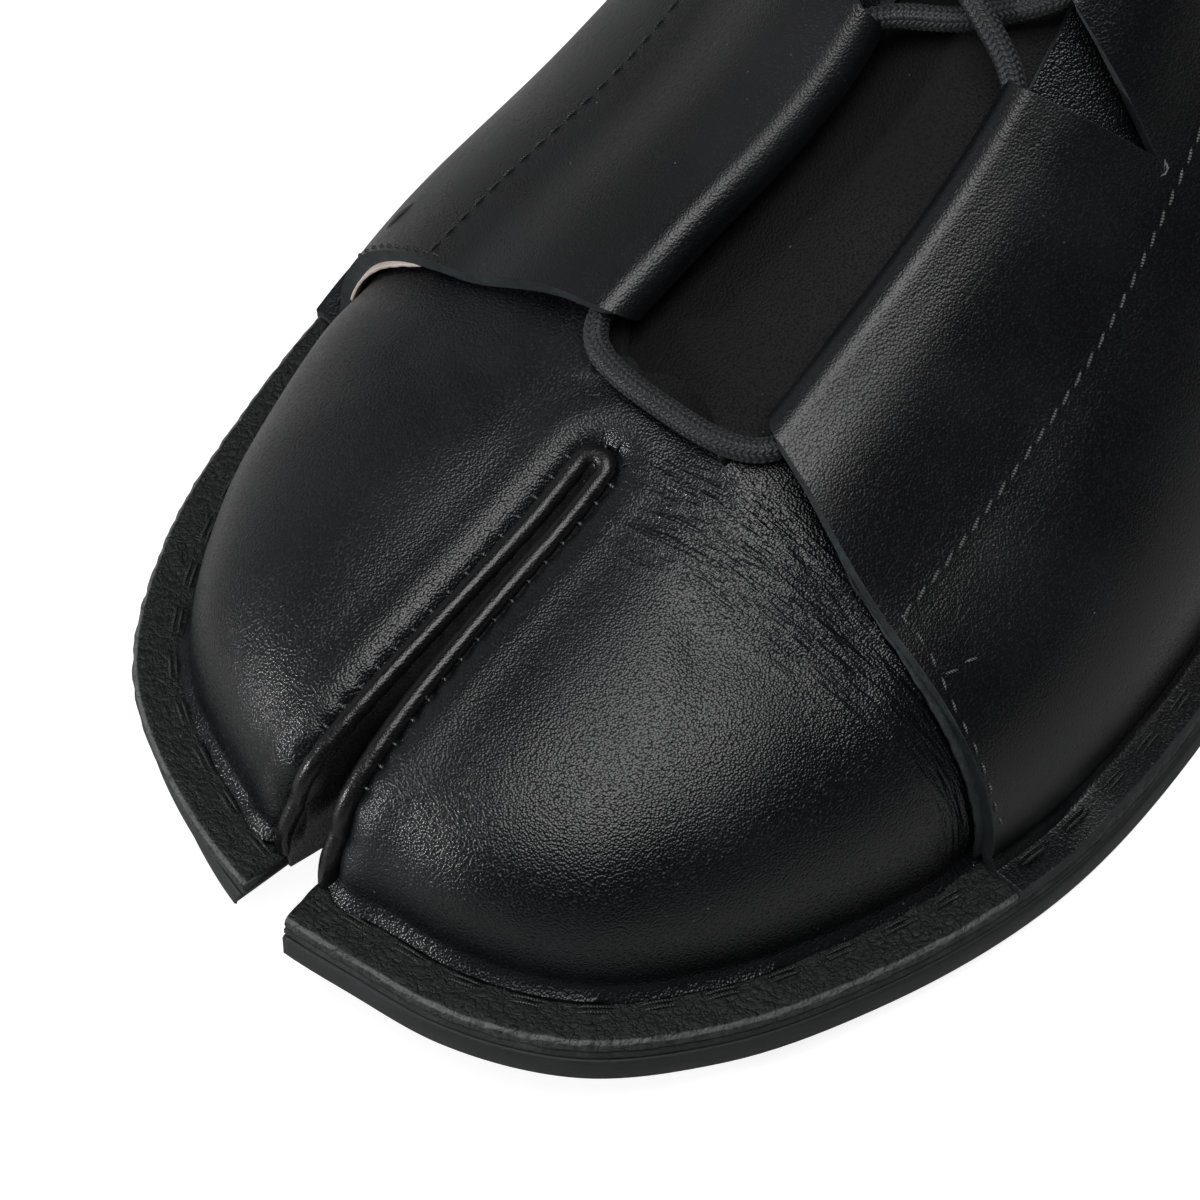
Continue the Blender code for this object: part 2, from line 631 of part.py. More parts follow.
def lace_route():
    """The cord's points: up both facings from the bar at the vamp line, crossing at each notch."""
    strands = []
    for side in (1, -1):
        points = [tunnel_mouth(side)[None], off_skin(side * np.array(TUNNEL_PLACES), LACE_IN, LACE_LIFT)]
        here, over = side, side
        for lower, _, upper in NOTCHES:
            leave = here * np.array((lower + TUNNEL_TURN, lower - NOTCH_LEAVE))
            enter = -here * np.array((upper + NOTCH_ENTER, upper - TUNNEL_TURN))
            reach = np.array((LACE_IN, RIM_OVER, RIM_OVER, LACE_IN))
            ends = off_skin(np.concatenate((leave, enter)), reach, LACE_LIFT)
            middle = ends[1:3].mean(axis=0) + (0.0, 0.0, CROSSING_HALF * over)
            points += [ends[:2], middle[None], ends[2:]]
            here, over = -here, -over
        points.append(off_skin(here * np.array((LACE_TOP_ROUND,)), LACE_IN, LACE_LIFT))
        strands.append(np.concatenate(points))
    bar = off_skin(np.array((1.0,)), BAR_REACH, LACE_LIFT)
    return np.concatenate((strands[0][::-1], bar, strands[1]))


def cord_curve(name, route, radius, material):
    """A tube along a smooth curve through the route's points."""
    knots = np.concatenate(((0.0,), np.cumsum(np.linalg.norm(np.diff(route, axis=0), axis=1))))
    count = int(knots[-1] / LACE_STEP)
    points = through(knots, route, np.linspace(0.0, knots[-1], count))
    curve = bpy.data.curves.new(name, "CURVE")
    curve.dimensions = "3D"
    curve.bevel_depth = radius * MM
    curve.bevel_resolution = LACE_BEVEL_RESOLUTION
    curve.use_fill_caps = True
    spline = curve.splines.new("POLY")
    spline.points.add(count - 1)
    for spot, point in zip(spline.points, points):
        spot.co = (*(point * MM), 1.0)
    curve.materials.append(material)
    return bpy.data.objects.new(name, curve)


def mesh_from_curve(curve):
    """The tube of a curve as a closed mesh object of the same name."""
    bpy.context.scene.collection.objects.link(curve)
    graph = bpy.context.evaluated_depsgraph_get()
    mesh = bpy.data.meshes.new_from_object(curve.evaluated_get(graph))
    name = curve.name
    bpy.data.objects.remove(curve, do_unlink=True)
    shape = bmesh.new()
    shape.from_mesh(mesh)
    bmesh.ops.remove_doubles(shape, verts=shape.verts, dist=WELD)
    bmesh.ops.recalc_face_normals(shape, faces=shape.faces)
    shape.to_mesh(mesh)
    shape.free()
    return bpy.data.objects.new(name, mesh)


def lace_cutter(material):
    """Room for the cord where it leaves and enters the tunnels."""
    return mesh_from_curve(cord_curve("lace_cutter", lace_route(), LACE / 2 + LACE_ROOM, material))


def make_heel(material):
    """The heel lift: the sole's rear outline, straight across at the breast."""
    outline = edge_outline(HEEL_INSET)
    behind = np.roll(outline, EDGE_POINTS // 2, axis=0)
    rear = behind[behind[:, 0] < HEEL_BREAST_X - HEEL_INSET]
    breast = [(HEEL_BREAST_X, rear[-1, 1]), (HEEL_BREAST_X, rear[0, 1])]
    return prism("heel", np.vstack((rear, breast)), 0.0, HEEL_HEIGHT - GAP, material)


def finish(name, colour, roughness):
    material = bpy.data.materials.new(name)
    material.use_nodes = True
    shader = material.node_tree.nodes["Principled BSDF"]
    shader.inputs["Base Color"].default_value = (*colour, 1.0)
    shader.inputs["Roughness"].default_value = roughness
    shader.inputs["Metallic"].default_value = 0.0
    return material


def build():
    for old in list(bpy.data.objects):
        bpy.data.objects.remove(old, do_unlink=True)
    scene = bpy.context.scene.collection
    boot = bpy.data.collections.new("split_toe_boot")
    cutters = bpy.data.collections.new("cutters")
    scene.children.link(boot)
    scene.children.link(cutters)

    vamp_leather = finish("vamp_leather", (0.016, 0.016, 0.017), 0.45)
    quarter_leather = finish("quarter_leather", (0.017, 0.017, 0.018), 0.45)
    gusset_leather = finish("gusset_leather", (0.013, 0.013, 0.014), 0.42)
    tongue_leather = finish("tongue_leather", (0.014, 0.014, 0.014), 0.6)
    insole_leather = finish("insole_leather", (0.45, 0.33, 0.25), 0.7)
    sole_rubber = finish("sole_rubber", (0.02, 0.021, 0.022), 0.7)
    midsole_board = finish("midsole_board", (0.014, 0.014, 0.015), 0.75)
    heel_rubber = finish("heel_rubber", (0.018, 0.018, 0.019), 0.7)
    cord = finish("cord", (0.02, 0.024, 0.026), 0.85)

    midsole_low = OUTSOLE + GAP
    upper = make_upper(vamp_leather)
    sides = (("quarter_outer", 1), ("quarter_inner", -1))
    quarters = [make_quarter(name, side, quarter_leather) for name, side in sides]
    outsole = bent_sheet("outsole", edge_outline(0.0), 0.0, OUTSOLE, sole_rubber)
    midsole_outline = edge_outline(MIDSOLE_INSET)
    midsole = bent_sheet("midsole", midsole_outline, midsole_low, midsole_low + MIDSOLE, midsole_board)
    insole_outline = feather_outline(LEATHER + INSOLE_CLEARANCE)
    insole = bent_sheet("insole", insole_outline, BOARD_BASE, BOARD_BASE + INSOLE, insole_leather)
    heel = make_heel(heel_rubber)
    gusset = make_gusset(gusset_leather)
    tongue = make_tongue(tongue_leather)
    lace = cord_curve("lace", lace_route(), LACE / 2, cord)
    pieces = [upper, outsole, midsole, insole, *quarters, heel, gusset, tongue, lace]
    for piece in pieces:
        boot.objects.link(piece)

    makers = (split_cutter, slot_cutter, vamp_line_cutter, lace_cutter)
    split, slot, vamp_line, lace_room = (make(cord) for make in makers)
    wedges = []
    for name, side in sides:
        wedges.append([notch_cutter(f"notch_{name}_{k}", side, row, cord) for k, row in enumerate(NOTCHES)])
    for cutter in [split, slot, vamp_line, lace_room] + wedges[0] + wedges[1]:
        cutters.objects.link(cutter)
        cutter.hide_render = True
        cutter.display_type = "WIRE"
    for piece, cutter in ((upper, split), (upper, slot), (insole, slot), (outsole, slot), (midsole, slot)):
        cut(piece, cutter)
    for piece, own in zip(quarters, wedges):
        for cutter in [vamp_line] + own + [lace_room]:
            cut(piece, cutter)


build()
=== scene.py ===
"""Looks of the left split-toe lace-up boot: black leather stitched down onto a thin rubber sole.

The skin of the last is worked out from the same tables as the part, on finer grids, and every piece
of leather is a sheet on it: rows run up the wall and columns run round the foot. Sizes are in
millimetres, with +X to the toe, +Y to the outer side and +Z up, and the meshes are scaled to metres.
"""

import json
import math

import bmesh
import bpy
import mathutils
import numpy as np
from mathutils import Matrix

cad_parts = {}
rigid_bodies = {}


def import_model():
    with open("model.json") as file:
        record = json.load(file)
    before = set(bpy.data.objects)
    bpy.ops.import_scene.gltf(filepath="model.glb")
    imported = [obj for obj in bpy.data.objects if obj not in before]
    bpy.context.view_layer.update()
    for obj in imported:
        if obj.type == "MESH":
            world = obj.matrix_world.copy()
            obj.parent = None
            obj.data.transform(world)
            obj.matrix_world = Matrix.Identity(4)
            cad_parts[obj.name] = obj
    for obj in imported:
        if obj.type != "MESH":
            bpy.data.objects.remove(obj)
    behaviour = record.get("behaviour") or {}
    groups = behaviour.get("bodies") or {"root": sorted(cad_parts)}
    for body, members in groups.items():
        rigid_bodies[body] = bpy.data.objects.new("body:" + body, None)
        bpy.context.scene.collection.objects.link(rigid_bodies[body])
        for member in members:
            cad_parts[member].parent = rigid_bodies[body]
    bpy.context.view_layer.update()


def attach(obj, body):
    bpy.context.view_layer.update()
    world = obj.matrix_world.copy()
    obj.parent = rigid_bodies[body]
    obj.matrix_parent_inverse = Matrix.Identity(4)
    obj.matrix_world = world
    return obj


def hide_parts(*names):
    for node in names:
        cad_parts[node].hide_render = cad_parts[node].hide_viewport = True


for startup in list(bpy.data.objects):
    bpy.data.objects.remove(startup, do_unlink=True)
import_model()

MM = 0.001

# Sole layers and the rise of the sole along the foot
OUTSOLE = 3.6
MIDSOLE = 1.3
LEATHER = 1.9
INSOLE = 1.8
HEEL_HEIGHT = 12.0
HEEL_BREAST_X = -62.0
HEEL_INSET = 1.2
HEEL_TAPER = 0.8
FOREFOOT_BACK_X = 15.0
FOREFOOT_FRONT_X = 57.0
TOE_X = 146.0
TOE_SPRING = 9.0
FLANGE_HEEL = 5.0
FLANGE_TOE = 7.2
FLANGE_TRIM = 0.3
TOE_UNDERCUT = 1.2
UNDERCUT_PLACES = (1.0, 1.05, 1.25, 1.4)
MIDSOLE_INSET = 0.3
INSOLE_INSET = 2.1
BOARD_BASE = OUTSOLE + MIDSOLE
INSOLE_TOP = BOARD_BASE + INSOLE
FLANGE_TOP = BOARD_BASE + LEATHER

# Edge of the sole, heel back round the outer side to the toe split and home round the inner side
SOLE_EDGE = (
    # along, across
    (-146.0, 3.0),
    (-138.0, 26.0),
    (-118.0, 38.0),
    (-85.0, 41.0),
    (-45.0, 42.5),
    (0.0, 48.0),
    (35.0, 55.0),
    (65.0, 57.3),
    (90.0, 54.8),
    (113.4, 46.4),
    (130.0, 36.6),
    (141.0, 25.2),
    (145.8, 11.0),
    (145.8, 0.0),
    (144.9, -12.0),
    (138.5, -27.5),
    (126.0, -43.3),
    (106.8, -52.6),
    (85.0, -56.6),
    (62.0, -57.3),
    (35.0, -52.5),
    (0.0, -43.5),
    (-45.0, -36.0),
    (-85.0, -35.0),
    (-118.0, -32.0),
    (-138.0, -20.0),
)
SPLIT_ROW = 14

# Opening of the boot and the arch of the wall, from the heel back (0) to the toe split (1)
LAST_SECTIONS = (
    # round, rim along, middle, half gap, height, skew, wall rise, bulge, crown run, outer and inner slope
    (0.00, -131.0, 4.0, 0.0, 126.0, 0.0, 42.0, 7.5, 40.0, 83.0, 83.0),
    (0.08, -125.0, 4.5, 18.0, 125.5, 0.0, 42.0, 7.5, 40.0, 84.0, 84.0),
    (0.16, -105.0, 5.0, 30.0, 123.0, 0.0, 42.0, 6.0, 40.0, 87.0, 87.0),
    (0.24, -80.0, 5.5, 33.5, 120.0, 0.0, 42.0, 4.5, 40.0, 88.0, 88.0),
    (0.32, -54.0, 6.0, 30.5, 120.0, 0.0, 42.0, 4.0, 40.0, 86.0, 84.0),
    (0.39, -33.0, 6.8, 20.5, 123.0, 0.0, 42.0, 3.5, 38.0, 78.0, 74.0),
    (0.44, -18.0, 7.6, 12.0, 118.0, 0.0, 40.0, 3.5, 36.0, 66.0, 58.0),
    (0.50, 4.0, 8.5, 8.6, 97.0, 0.0, 36.0, 3.5, 34.0, 52.0, 40.0),
    (0.56, 25.0, 8.6, 7.7, 78.5, 0.0, 31.0, 3.5, 30.0, 42.0, 28.0),
    (0.62, 46.0, 7.8, 7.7, 63.0, 0.0, 27.0, 3.5, 27.0, 35.0, 20.0),
    (0.70, 71.0, 3.2, 9.3, 50.5, 0.15, 23.0, 3.2, 24.0, 29.0, 15.0),
    (0.74, 80.5, 1.5, 9.8, 46.8, 0.21, 21.5, 2.8, 22.5, 25.0, 14.0),
    (0.765, 85.3, 0.9, 9.9, 45.1, 0.23, 21.0, 2.5, 22.0, 23.0, 14.0),
    (0.79, 86.0, 0.8, 9.0, 44.8, 0.23, 20.0, 2.3, 23.5, 21.0, 14.5),
    (0.82, 84.8, 0.8, 7.4, 45.1, 0.23, 20.0, 2.1, 27.0, 19.0, 15.0),
    (0.90, 82.8, 0.8, 3.8, 45.5, 0.23, 20.0, 1.8, 35.0, 17.0, 16.0),
    (1.00, 82.2, 0.8, 0.0, 45.5, 0.23, 20.0, 1.5, 42.0, 17.0, 17.0),
)
SECTION_RISE = 5

# Vamp line: the straight front edge of both quarters, seen from above
VAMP_LINE_X = 83.3
VAMP_LINE_SLANT = 0.23

# Toe split along an axis from its rear end towards the toe
SPLIT_REAR = (93.0, -4.0)
SPLIT_ANGLE = math.radians(-9.7)
SPLIT_ALONG = np.array((math.cos(SPLIT_ANGLE), math.sin(SPLIT_ANGLE)))
SPLIT_ACROSS = np.array((-SPLIT_ALONG[1], SPLIT_ALONG[0]))
SPLIT_DIP = 2.2
SPLIT_DIP_WIDTH = 9.0
SPLIT_DIP_RUN = 8.0
SPLIT_DIP_FOOT = 0.2
SPLIT_DIP_TOP = 0.35
SPLIT_TOP = 0.95
GUSSET_WALL = 2.3
GUSSET_BEAD = 0.9
SLIT_REAR = 0.9
SLIT_FRONT = 4.2
SLIT_FLARE = 3
SOLE_SLOT_HALF = 2.5
SOLE_SLOT_LENGTH = 18.0
SLOT_FRONT_HALF = {1: 3.6, -1: 2.9}
SLOT_FLARE_RUN = 7.0
BEAD_RADIUS = 1.2
SEAM_PITCH = 2.8

# Lace tunnels along the facings
LACE = 2.9
LACE_LIFT = 1.9
RIM_SETBACK = 2.6
RIM_TUCK = -1.2
TUCK_ROUND = (0.725, 0.76)
TUNNEL_SEAM = 26.0
TUNNEL_LIFT = 3.4
TUNNEL_FLAT = 6.0
COLLAR_LIFT = 0.4
COLLAR_ROUND = 0.36
FACING_ROUND = 0.42
CURL_END = math.radians(128.0)
LACE_IN = 4.3
BACK_SEAM_ROUND = 0.0004
NOTCH_DEPTH = 20.0
NOTCH_MOUTH = 8.0
NOTCHES = (
    # lower end at the fold, apex, upper end at the fold, as places round the sole edge
    (0.615, 0.583, 0.579),
    (0.519, 0.489, 0.484),
)
LACE_TOP_ROUND = 0.435
CROSSING_HALF = 1.9
NOTCH_LEAVE = 0.008
TUNNEL_TURN = 0.018
TUNNEL_PLACES = (0.71, 0.67)
RIM_OVER = 0.8
BAR_AHEAD = {1: -1.8, -1: 0.8}
BAR_REACH = 2.8
MOUTH_IN = 1.6

# Tongue, between the same places round both sides
TONGUE_EDGE = 14.0
TONGUE_SINK = 0.45
TONGUE_TOP_ROUND = 0.41
TONGUE_FRONT_ROUND = 0.772
TONGUE_PROUD = 10.0
TONGUE_THICK = 1.9
TONGUE_CROWN = ((0.41, 0.62, 0.74, 0.772), (6.0, 5.2, 4.9, 4.6))

# Fineness of the tables that the surfaces are read from
EDGE_SAMPLES = 4001
PLACE_STEP = 0.002
WAY_PLACES = np.linspace(-1.0, 1.0, 401)
WAYS = np.arange(-12.0, 170.0, 1.0)
MERIDIAN_SAMPLES = 121
LAST_WAY = len(WAYS) - 1.001
SLOPE_STEP = 1e-3
LOWEST_T = 2e-3
TINY = 1e-9
WELD = 2e-6
CUT_EDGE_ROUND = 0.16
CUT_EDGE_SEGMENTS = 2
CUT_EDGE_ANGLE = math.radians(40.0)
STITCH_RINGS = 6
STITCH_SIDES = 6
STITCH_TIP = 0.55
UPWARD = (0.0, 0.0, 1.0)
SIDES = (1, -1)


def through(knots, values, at):
    """Cubic curve through the values at the knots, with slopes from the neighbouring rows."""
    slopes = np.gradient(values, knots, axis=0)
    cell = np.clip(np.searchsorted(knots, at, side="right") - 1, 0, len(knots) - 2)
    width = (knots[cell + 1] - knots[cell])[:, None]
    t = (at - knots[cell])[:, None] / width
    start = (2 * t**3 - 3 * t**2 + 1) * values[cell] + (t**3 - 2 * t**2 + t) * width * slopes[cell]
    end = (3 * t**2 - 2 * t**3) * values[cell + 1] + (t**3 - t**2) * width * slopes[cell + 1]
    return start + end


def smooth_step(value):
    """Rises from 0 to 1 with level ends as the value goes from 0 to 1."""
    t = np.clip(value, 0.0, 1.0)
    return t * t * (3.0 - 2.0 * t)


def bell(distance, width):
    """1 at no distance, falling away over the width."""
    return np.exp(-((distance / width) ** 2))


def unit(vectors):
    """Vectors divided by their lengths."""
    return vectors / np.maximum(np.linalg.norm(vectors, axis=-1, keepdims=True), TINY)


def between(at, knots, table):
    """Rows of a table at values of its knots, on straight lines between its entries."""
    return np.stack([np.interp(at, knots, table[:, k]) for k in range(table.shape[1])], -1)


def blend(first, second, share):
    """The first where the share is 0, the second where it is 1, and mixed in between."""
    return first * (1 - share) + second * share


def sole_rise(x):
    """Height of the outsole's underside: flat at the ball, up to the heel and up at the toe."""
    toe = TOE_SPRING * np.clip((x - FOREFOOT_FRONT_X) / (TOE_X - FOREFOOT_FRONT_X), 0.0, None) ** 2
    arch = HEEL_HEIGHT * smooth_step((FOREFOOT_BACK_X - x) / (FOREFOOT_BACK_X - HEEL_BREAST_X))
    return toe + arch


def edge_tables():
    """The closed sole edge as dense points, with the signed place round it of each point."""
    rows = np.array(SOLE_EDGE)
    looped = np.vstack((rows, rows, rows))
    chords = np.linalg.norm(np.diff(looped, axis=0), axis=1)
    knots = np.concatenate(((0.0,), np.cumsum(chords)))
    first, last = knots[len(rows)], knots[2 * len(rows)]
    at = np.linspace(first, last, EDGE_SAMPLES)
    points = through(knots, looped, at)
    steps = np.linalg.norm(np.diff(points, axis=0), axis=1)
    arc = np.concatenate(((0.0,), np.cumsum(steps)))
    split = arc[np.argmin(np.abs(at - knots[len(rows) + SPLIT_ROW]))]
    places = np.where(arc <= split, arc / split, 2.0 - (arc[-1] - arc) / (arc[-1] - split))
    return places, points


EDGE_PLACES, EDGE_XY = edge_tables()


def sole_edge(place, inset=0.0):
    """Point and outward direction of the sole edge: 0 heel back, 1 toe split, negative inner side."""
    turn = np.mod(place, 2.0)

    def at(value):
        """Point of the edge at a place, counted on past the heel."""
        return between(np.mod(value, 2.0), EDGE_PLACES, EDGE_XY)

    along = unit(at(turn + PLACE_STEP) - at(turn - PLACE_STEP))
    outward = np.stack((-along[..., 1], along[..., 0]), -1)
    return at(turn) - outward * np.expand_dims(inset, -1), outward


def flange_width(edge):
    """Distance from the sole edge in to the foot of the wall, wider towards the toe."""
    return np.interp(edge[..., 0], (-TOE_X, TOE_X), (FLANGE_HEEL, FLANGE_TOE))


def section_at(place):
    """Rows of the section table at signed places: the inner side has its own slope and a mirrored gap."""
    rows = np.array(LAST_SECTIONS)
    mirror = rows[::-1].copy()
    mirror[:, 0] = -mirror[:, 0]
    mirror[:, 3] = -mirror[:, 3]
    mirror[:, -2:] = mirror[:, :-3:-1]
    turn = np.vstack((mirror[:-1], rows))
    before, after = turn[:-1].copy(), turn[1:].copy()
    before[:, 0] -= 2.0
    after[:, 0] += 2.0
    looped = np.vstack((before, turn, after))
    wrapped = np.mod(place + 1.0, 2.0) - 1.0
    return through(looped[:, 0], looped[:, 1:], wrapped)


def meridian(place):
    """Four control points of the wall's curve at each place, foot to rim, with the outward direction."""
    edge, outward = sole_edge(place)
    foot_xy = edge - outward * flange_width(edge)[:, None]
    rim_x, middle, half, rim_z, skew, rise, bulge, run, slope, _ = section_at(place).T
    foot = np.column_stack((foot_xy, sole_rise(foot_xy[:, 0]) + FLANGE_TOP))
    rim = np.column_stack((rim_x + skew * half, middle + half, rim_z))
    away = unit(foot_xy - rim[:, :2])
    low = foot + np.column_stack((outward * bulge[:, None], rise))
    dip = np.radians(slope)
    high = rim + np.column_stack((away * (run * np.cos(dip))[:, None], -run * np.sin(dip)))
    return np.stack((foot, low, high, rim), 1), outward


def split_frame(points):
    """Distances forward of the split's rear end and sideways from its axis, seen from above."""
    offset = points[..., :2] - np.array(SPLIT_REAR)
    return offset @ SPLIT_ALONG, offset @ SPLIT_ACROSS


def split_plan(forward, sideways):
    """Points in plan from distances in the split's own frame."""
    forward, sideways = np.broadcast_arrays(forward, sideways)
    return np.array(SPLIT_REAR) + forward[..., None] * SPLIT_ALONG + sideways[..., None] * SPLIT_ACROSS


def split_dip(points):
    """Depth of the soft trough that the two toe lobes make along the split."""
    forward, sideways = split_frame(points)
    ramp = smooth_step((forward + SPLIT_DIP_RUN) / (2 * SPLIT_DIP_RUN))
    return SPLIT_DIP * ramp * bell(sideways, SPLIT_DIP_WIDTH)


def skin(place, t):
    """Outer skin of the last: the meridian's cubic curve at t, 0 foot to 1 rim, less the toe trough."""
    place, t = np.broadcast_arrays(np.asarray(place, float), np.asarray(t, float))
    control, outward = meridian(place.ravel())
    t_flat = t.ravel()[:, None]
    weights = ((1 - t_flat) ** 3, 3 * (1 - t_flat) ** 2 * t_flat, 3 * (1 - t_flat) * t_flat**2, t_flat**3)
    points = sum(weight * control[:, k] for k, weight in enumerate(weights))
    top = smooth_step(t_flat / SPLIT_DIP_TOP)
    inward = -unit(np.concatenate((outward * (1.0 - top), top), axis=1))
    depth = split_dip(points) * smooth_step(t_flat[:, 0] / SPLIT_DIP_FOOT)
    return (points + inward * depth[:, None]).reshape(place.shape + (3,))


def skin_normal(place, t):
    """Outward unit normal of the skin, from its slopes up the wall and round the foot."""
    up = skin(place, t + SLOPE_STEP) - skin(place, t - SLOPE_STEP)
    along = skin(place + SLOPE_STEP, t) - skin(place - SLOPE_STEP, t)
    return unit(np.cross(up, along))


def rim_table():
    """Meridian parameter for each whole distance down the wall from the rim, past it where negative."""
    samples = np.linspace(0.0, 1.0, MERIDIAN_SAMPLES)
    lines = skin(WAY_PLACES[:, None], samples[None, :])
    steps = np.linalg.norm(np.diff(lines, axis=1), axis=2)
    to_rim = np.concatenate((np.cumsum(steps[:, ::-1], axis=1)[:, ::-1], np.zeros((len(lines), 1))), axis=1)
    rows = np.stack([np.interp(WAYS, line[::-1], samples[::-1]) for line in to_rim])
    speed = steps[:, -1:] / (samples[-1] - samples[-2])
    return np.where(WAYS < 0.0, 1.0 - WAYS / speed, rows)


RIM_TABLE = rim_table()


def t_from_rim(place, way):
    """Meridian parameter at a distance down the wall from the rim, read between the table's entries."""
    place, way = np.broadcast_arrays(np.asarray(place, float), np.asarray(way, float))
    column = np.mod(place + 1.0, 2.0) / (WAY_PLACES[1] - WAY_PLACES[0])
    row = np.clip(way - WAYS[0], 0.0, LAST_WAY)
    i = np.clip(column.astype(int), 0, len(WAY_PLACES) - 2)
    j = row.astype(int)
    u, v = column - i, row - j
    near = blend(RIM_TABLE[i, j], RIM_TABLE[i, j + 1], v)
    far = blend(RIM_TABLE[i + 1, j], RIM_TABLE[i + 1, j + 1], v)
    return blend(near, far, u)


def off_skin(place, way, height):
    """Points at a distance down from the rim and a height off the skin."""
    t = t_from_rim(place, way)
    place = np.broadcast_to(np.asarray(place, float), t.shape)
    return skin(place, t) + skin_normal(place, t) * np.expand_dims(height, -1)


def crossing(values, places, level=0.0):
    """Place in each row where the values first fall below the level, between the samples either side."""
    below = values < level
    k = np.clip(np.argmax(below, axis=1), 1, values.shape[1] - 1)
    row = np.arange(len(values))
    before, after = values[row, k - 1] - level, values[row, k] - level
    share = np.clip(before / np.where(before == after, 1.0, before - after), 0.0, 1.0)
    return places[k - 1] + (places[k] - places[k - 1]) * share


def ahead_of_vamp_line(points):
    """How far ahead of the vamp line points lie: x less the line's slant times y, less its start."""
    return points[..., 0] - VAMP_LINE_SLANT * points[..., 1] - VAMP_LINE_X


# Mesh making

def grid_sheet(grid, ring=False, uv=None, material=0):
    """Quads over a grid of points whose rows go up and columns go along, and round where ring is set."""
    rows, columns = grid.shape[:2]
    index = np.arange(rows * columns).reshape(rows, columns)
    if ring:
        index = np.concatenate((index, index[:, :1]), axis=1)
    quads = np.stack((index[:-1, :-1], index[1:, :-1], index[1:, 1:], index[:-1, 1:]), -1).reshape(-1, 4)
    if uv is None:
        uv = np.zeros((rows, columns, 2))
    return grid.reshape(-1, 3), quads, uv.reshape(-1, 2), np.broadcast_to(material, len(quads))


def make_piece(name, sheets, materials, slot, replaces=()):
    """One mesh from sheets of (points, quads, uv, material), with touching points merged."""
    starts = np.cumsum([0] + [len(sheet[0]) for sheet in sheets[:-1]])
    points = np.concatenate([sheet[0] for sheet in sheets])
    quads = np.concatenate([sheet[1] + start for sheet, start in zip(sheets, starts)])
    uv = np.concatenate([sheet[2] for sheet in sheets])
    mesh = bpy.data.meshes.new(name)
    mesh.from_pydata((points * MM).tolist(), [], quads.tolist())
    layer = mesh.uv_layers.new(name="along_across")
    layer.data.foreach_set("uv", uv[quads.ravel()].astype(np.float32).ravel())
    finish = np.concatenate([sheet[3] for sheet in sheets])
    mesh.polygons.foreach_set("material_index", finish.astype(np.int32))
    shape = bmesh.new()
    shape.from_mesh(mesh)
    bmesh.ops.remove_doubles(shape, verts=shape.verts, dist=WELD)
    shape.to_mesh(mesh)
    shape.free()
    for material in materials:
        mesh.materials.append(material)
    mesh.shade_smooth()
    piece = bpy.data.objects.new(name, mesh)
    bpy.context.scene.collection.objects.link(piece)
    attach(piece, "root")
    if replaces:
        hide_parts(*replaces)
    return piece


def thicken(piece, thickness, inner, rim):
    """A wall inwards from the sheet with softened edges, its inside and cut edges in other materials."""
    modifier = piece.modifiers.new("wall", "SOLIDIFY")
    modifier.thickness = thickness * MM
    modifier.offset = -1.0
    modifier.material_offset = inner
    modifier.material_offset_rim = rim
    soft = piece.modifiers.new("soft_edges", "BEVEL")
    soft.width = CUT_EDGE_ROUND * MM
    soft.segments = CUT_EDGE_SEGMENTS
    soft.limit_method = "ANGLE"
    soft.angle_limit = CUT_EDGE_ANGLE
    soft.harden_normals = True


def capped(grid):
    """A grid closed at both ends by a column drawn together to the middle of the last one."""
    ends = [np.repeat(grid[:, k].mean(axis=0)[None, None], len(grid), axis=0) for k in (0, -1)]
    return np.concatenate((ends[0], grid, ends[1]), axis=1)


def arc_length(path):
    """Running sum of the distances from point to point, from 0."""
    return np.concatenate(((0.0,), np.cumsum(np.linalg.norm(np.diff(path, axis=0), axis=1))))


def resample(path, at):
    """Points of a polyline at distances along it."""
    return between(at, arc_length(path), path)


def tube(path, normal, radius, sides, material=0):
    """A round section carried along a path, its radius by ring and side, closed to a point at both ends."""
    tangent = unit(np.gradient(path, axis=0))
    aside = unit(np.cross(tangent, normal))
    upward = np.cross(aside, tangent)
    turn = np.linspace(0.0, math.tau, sides, endpoint=False)
    ring = np.cos(turn)[None, :, None] * aside[:, None] + np.sin(turn)[None, :, None] * upward[:, None]
    body = path[:, None] + ring * np.broadcast_to(radius, (len(path), sides))[..., None]
    caps = [np.repeat(path[end][None, None], sides, axis=1) for end in (0, -1)]
    along = np.concatenate(((0.0,), arc_length(path), (0.0,)))
    around = np.broadcast_to(turn, (len(path) + 2, sides))
    uv = np.stack((np.broadcast_to(along[:, None], around.shape), around), -1)
    return grid_sheet(np.concatenate((caps[0], body, caps[1])), True, uv, material)


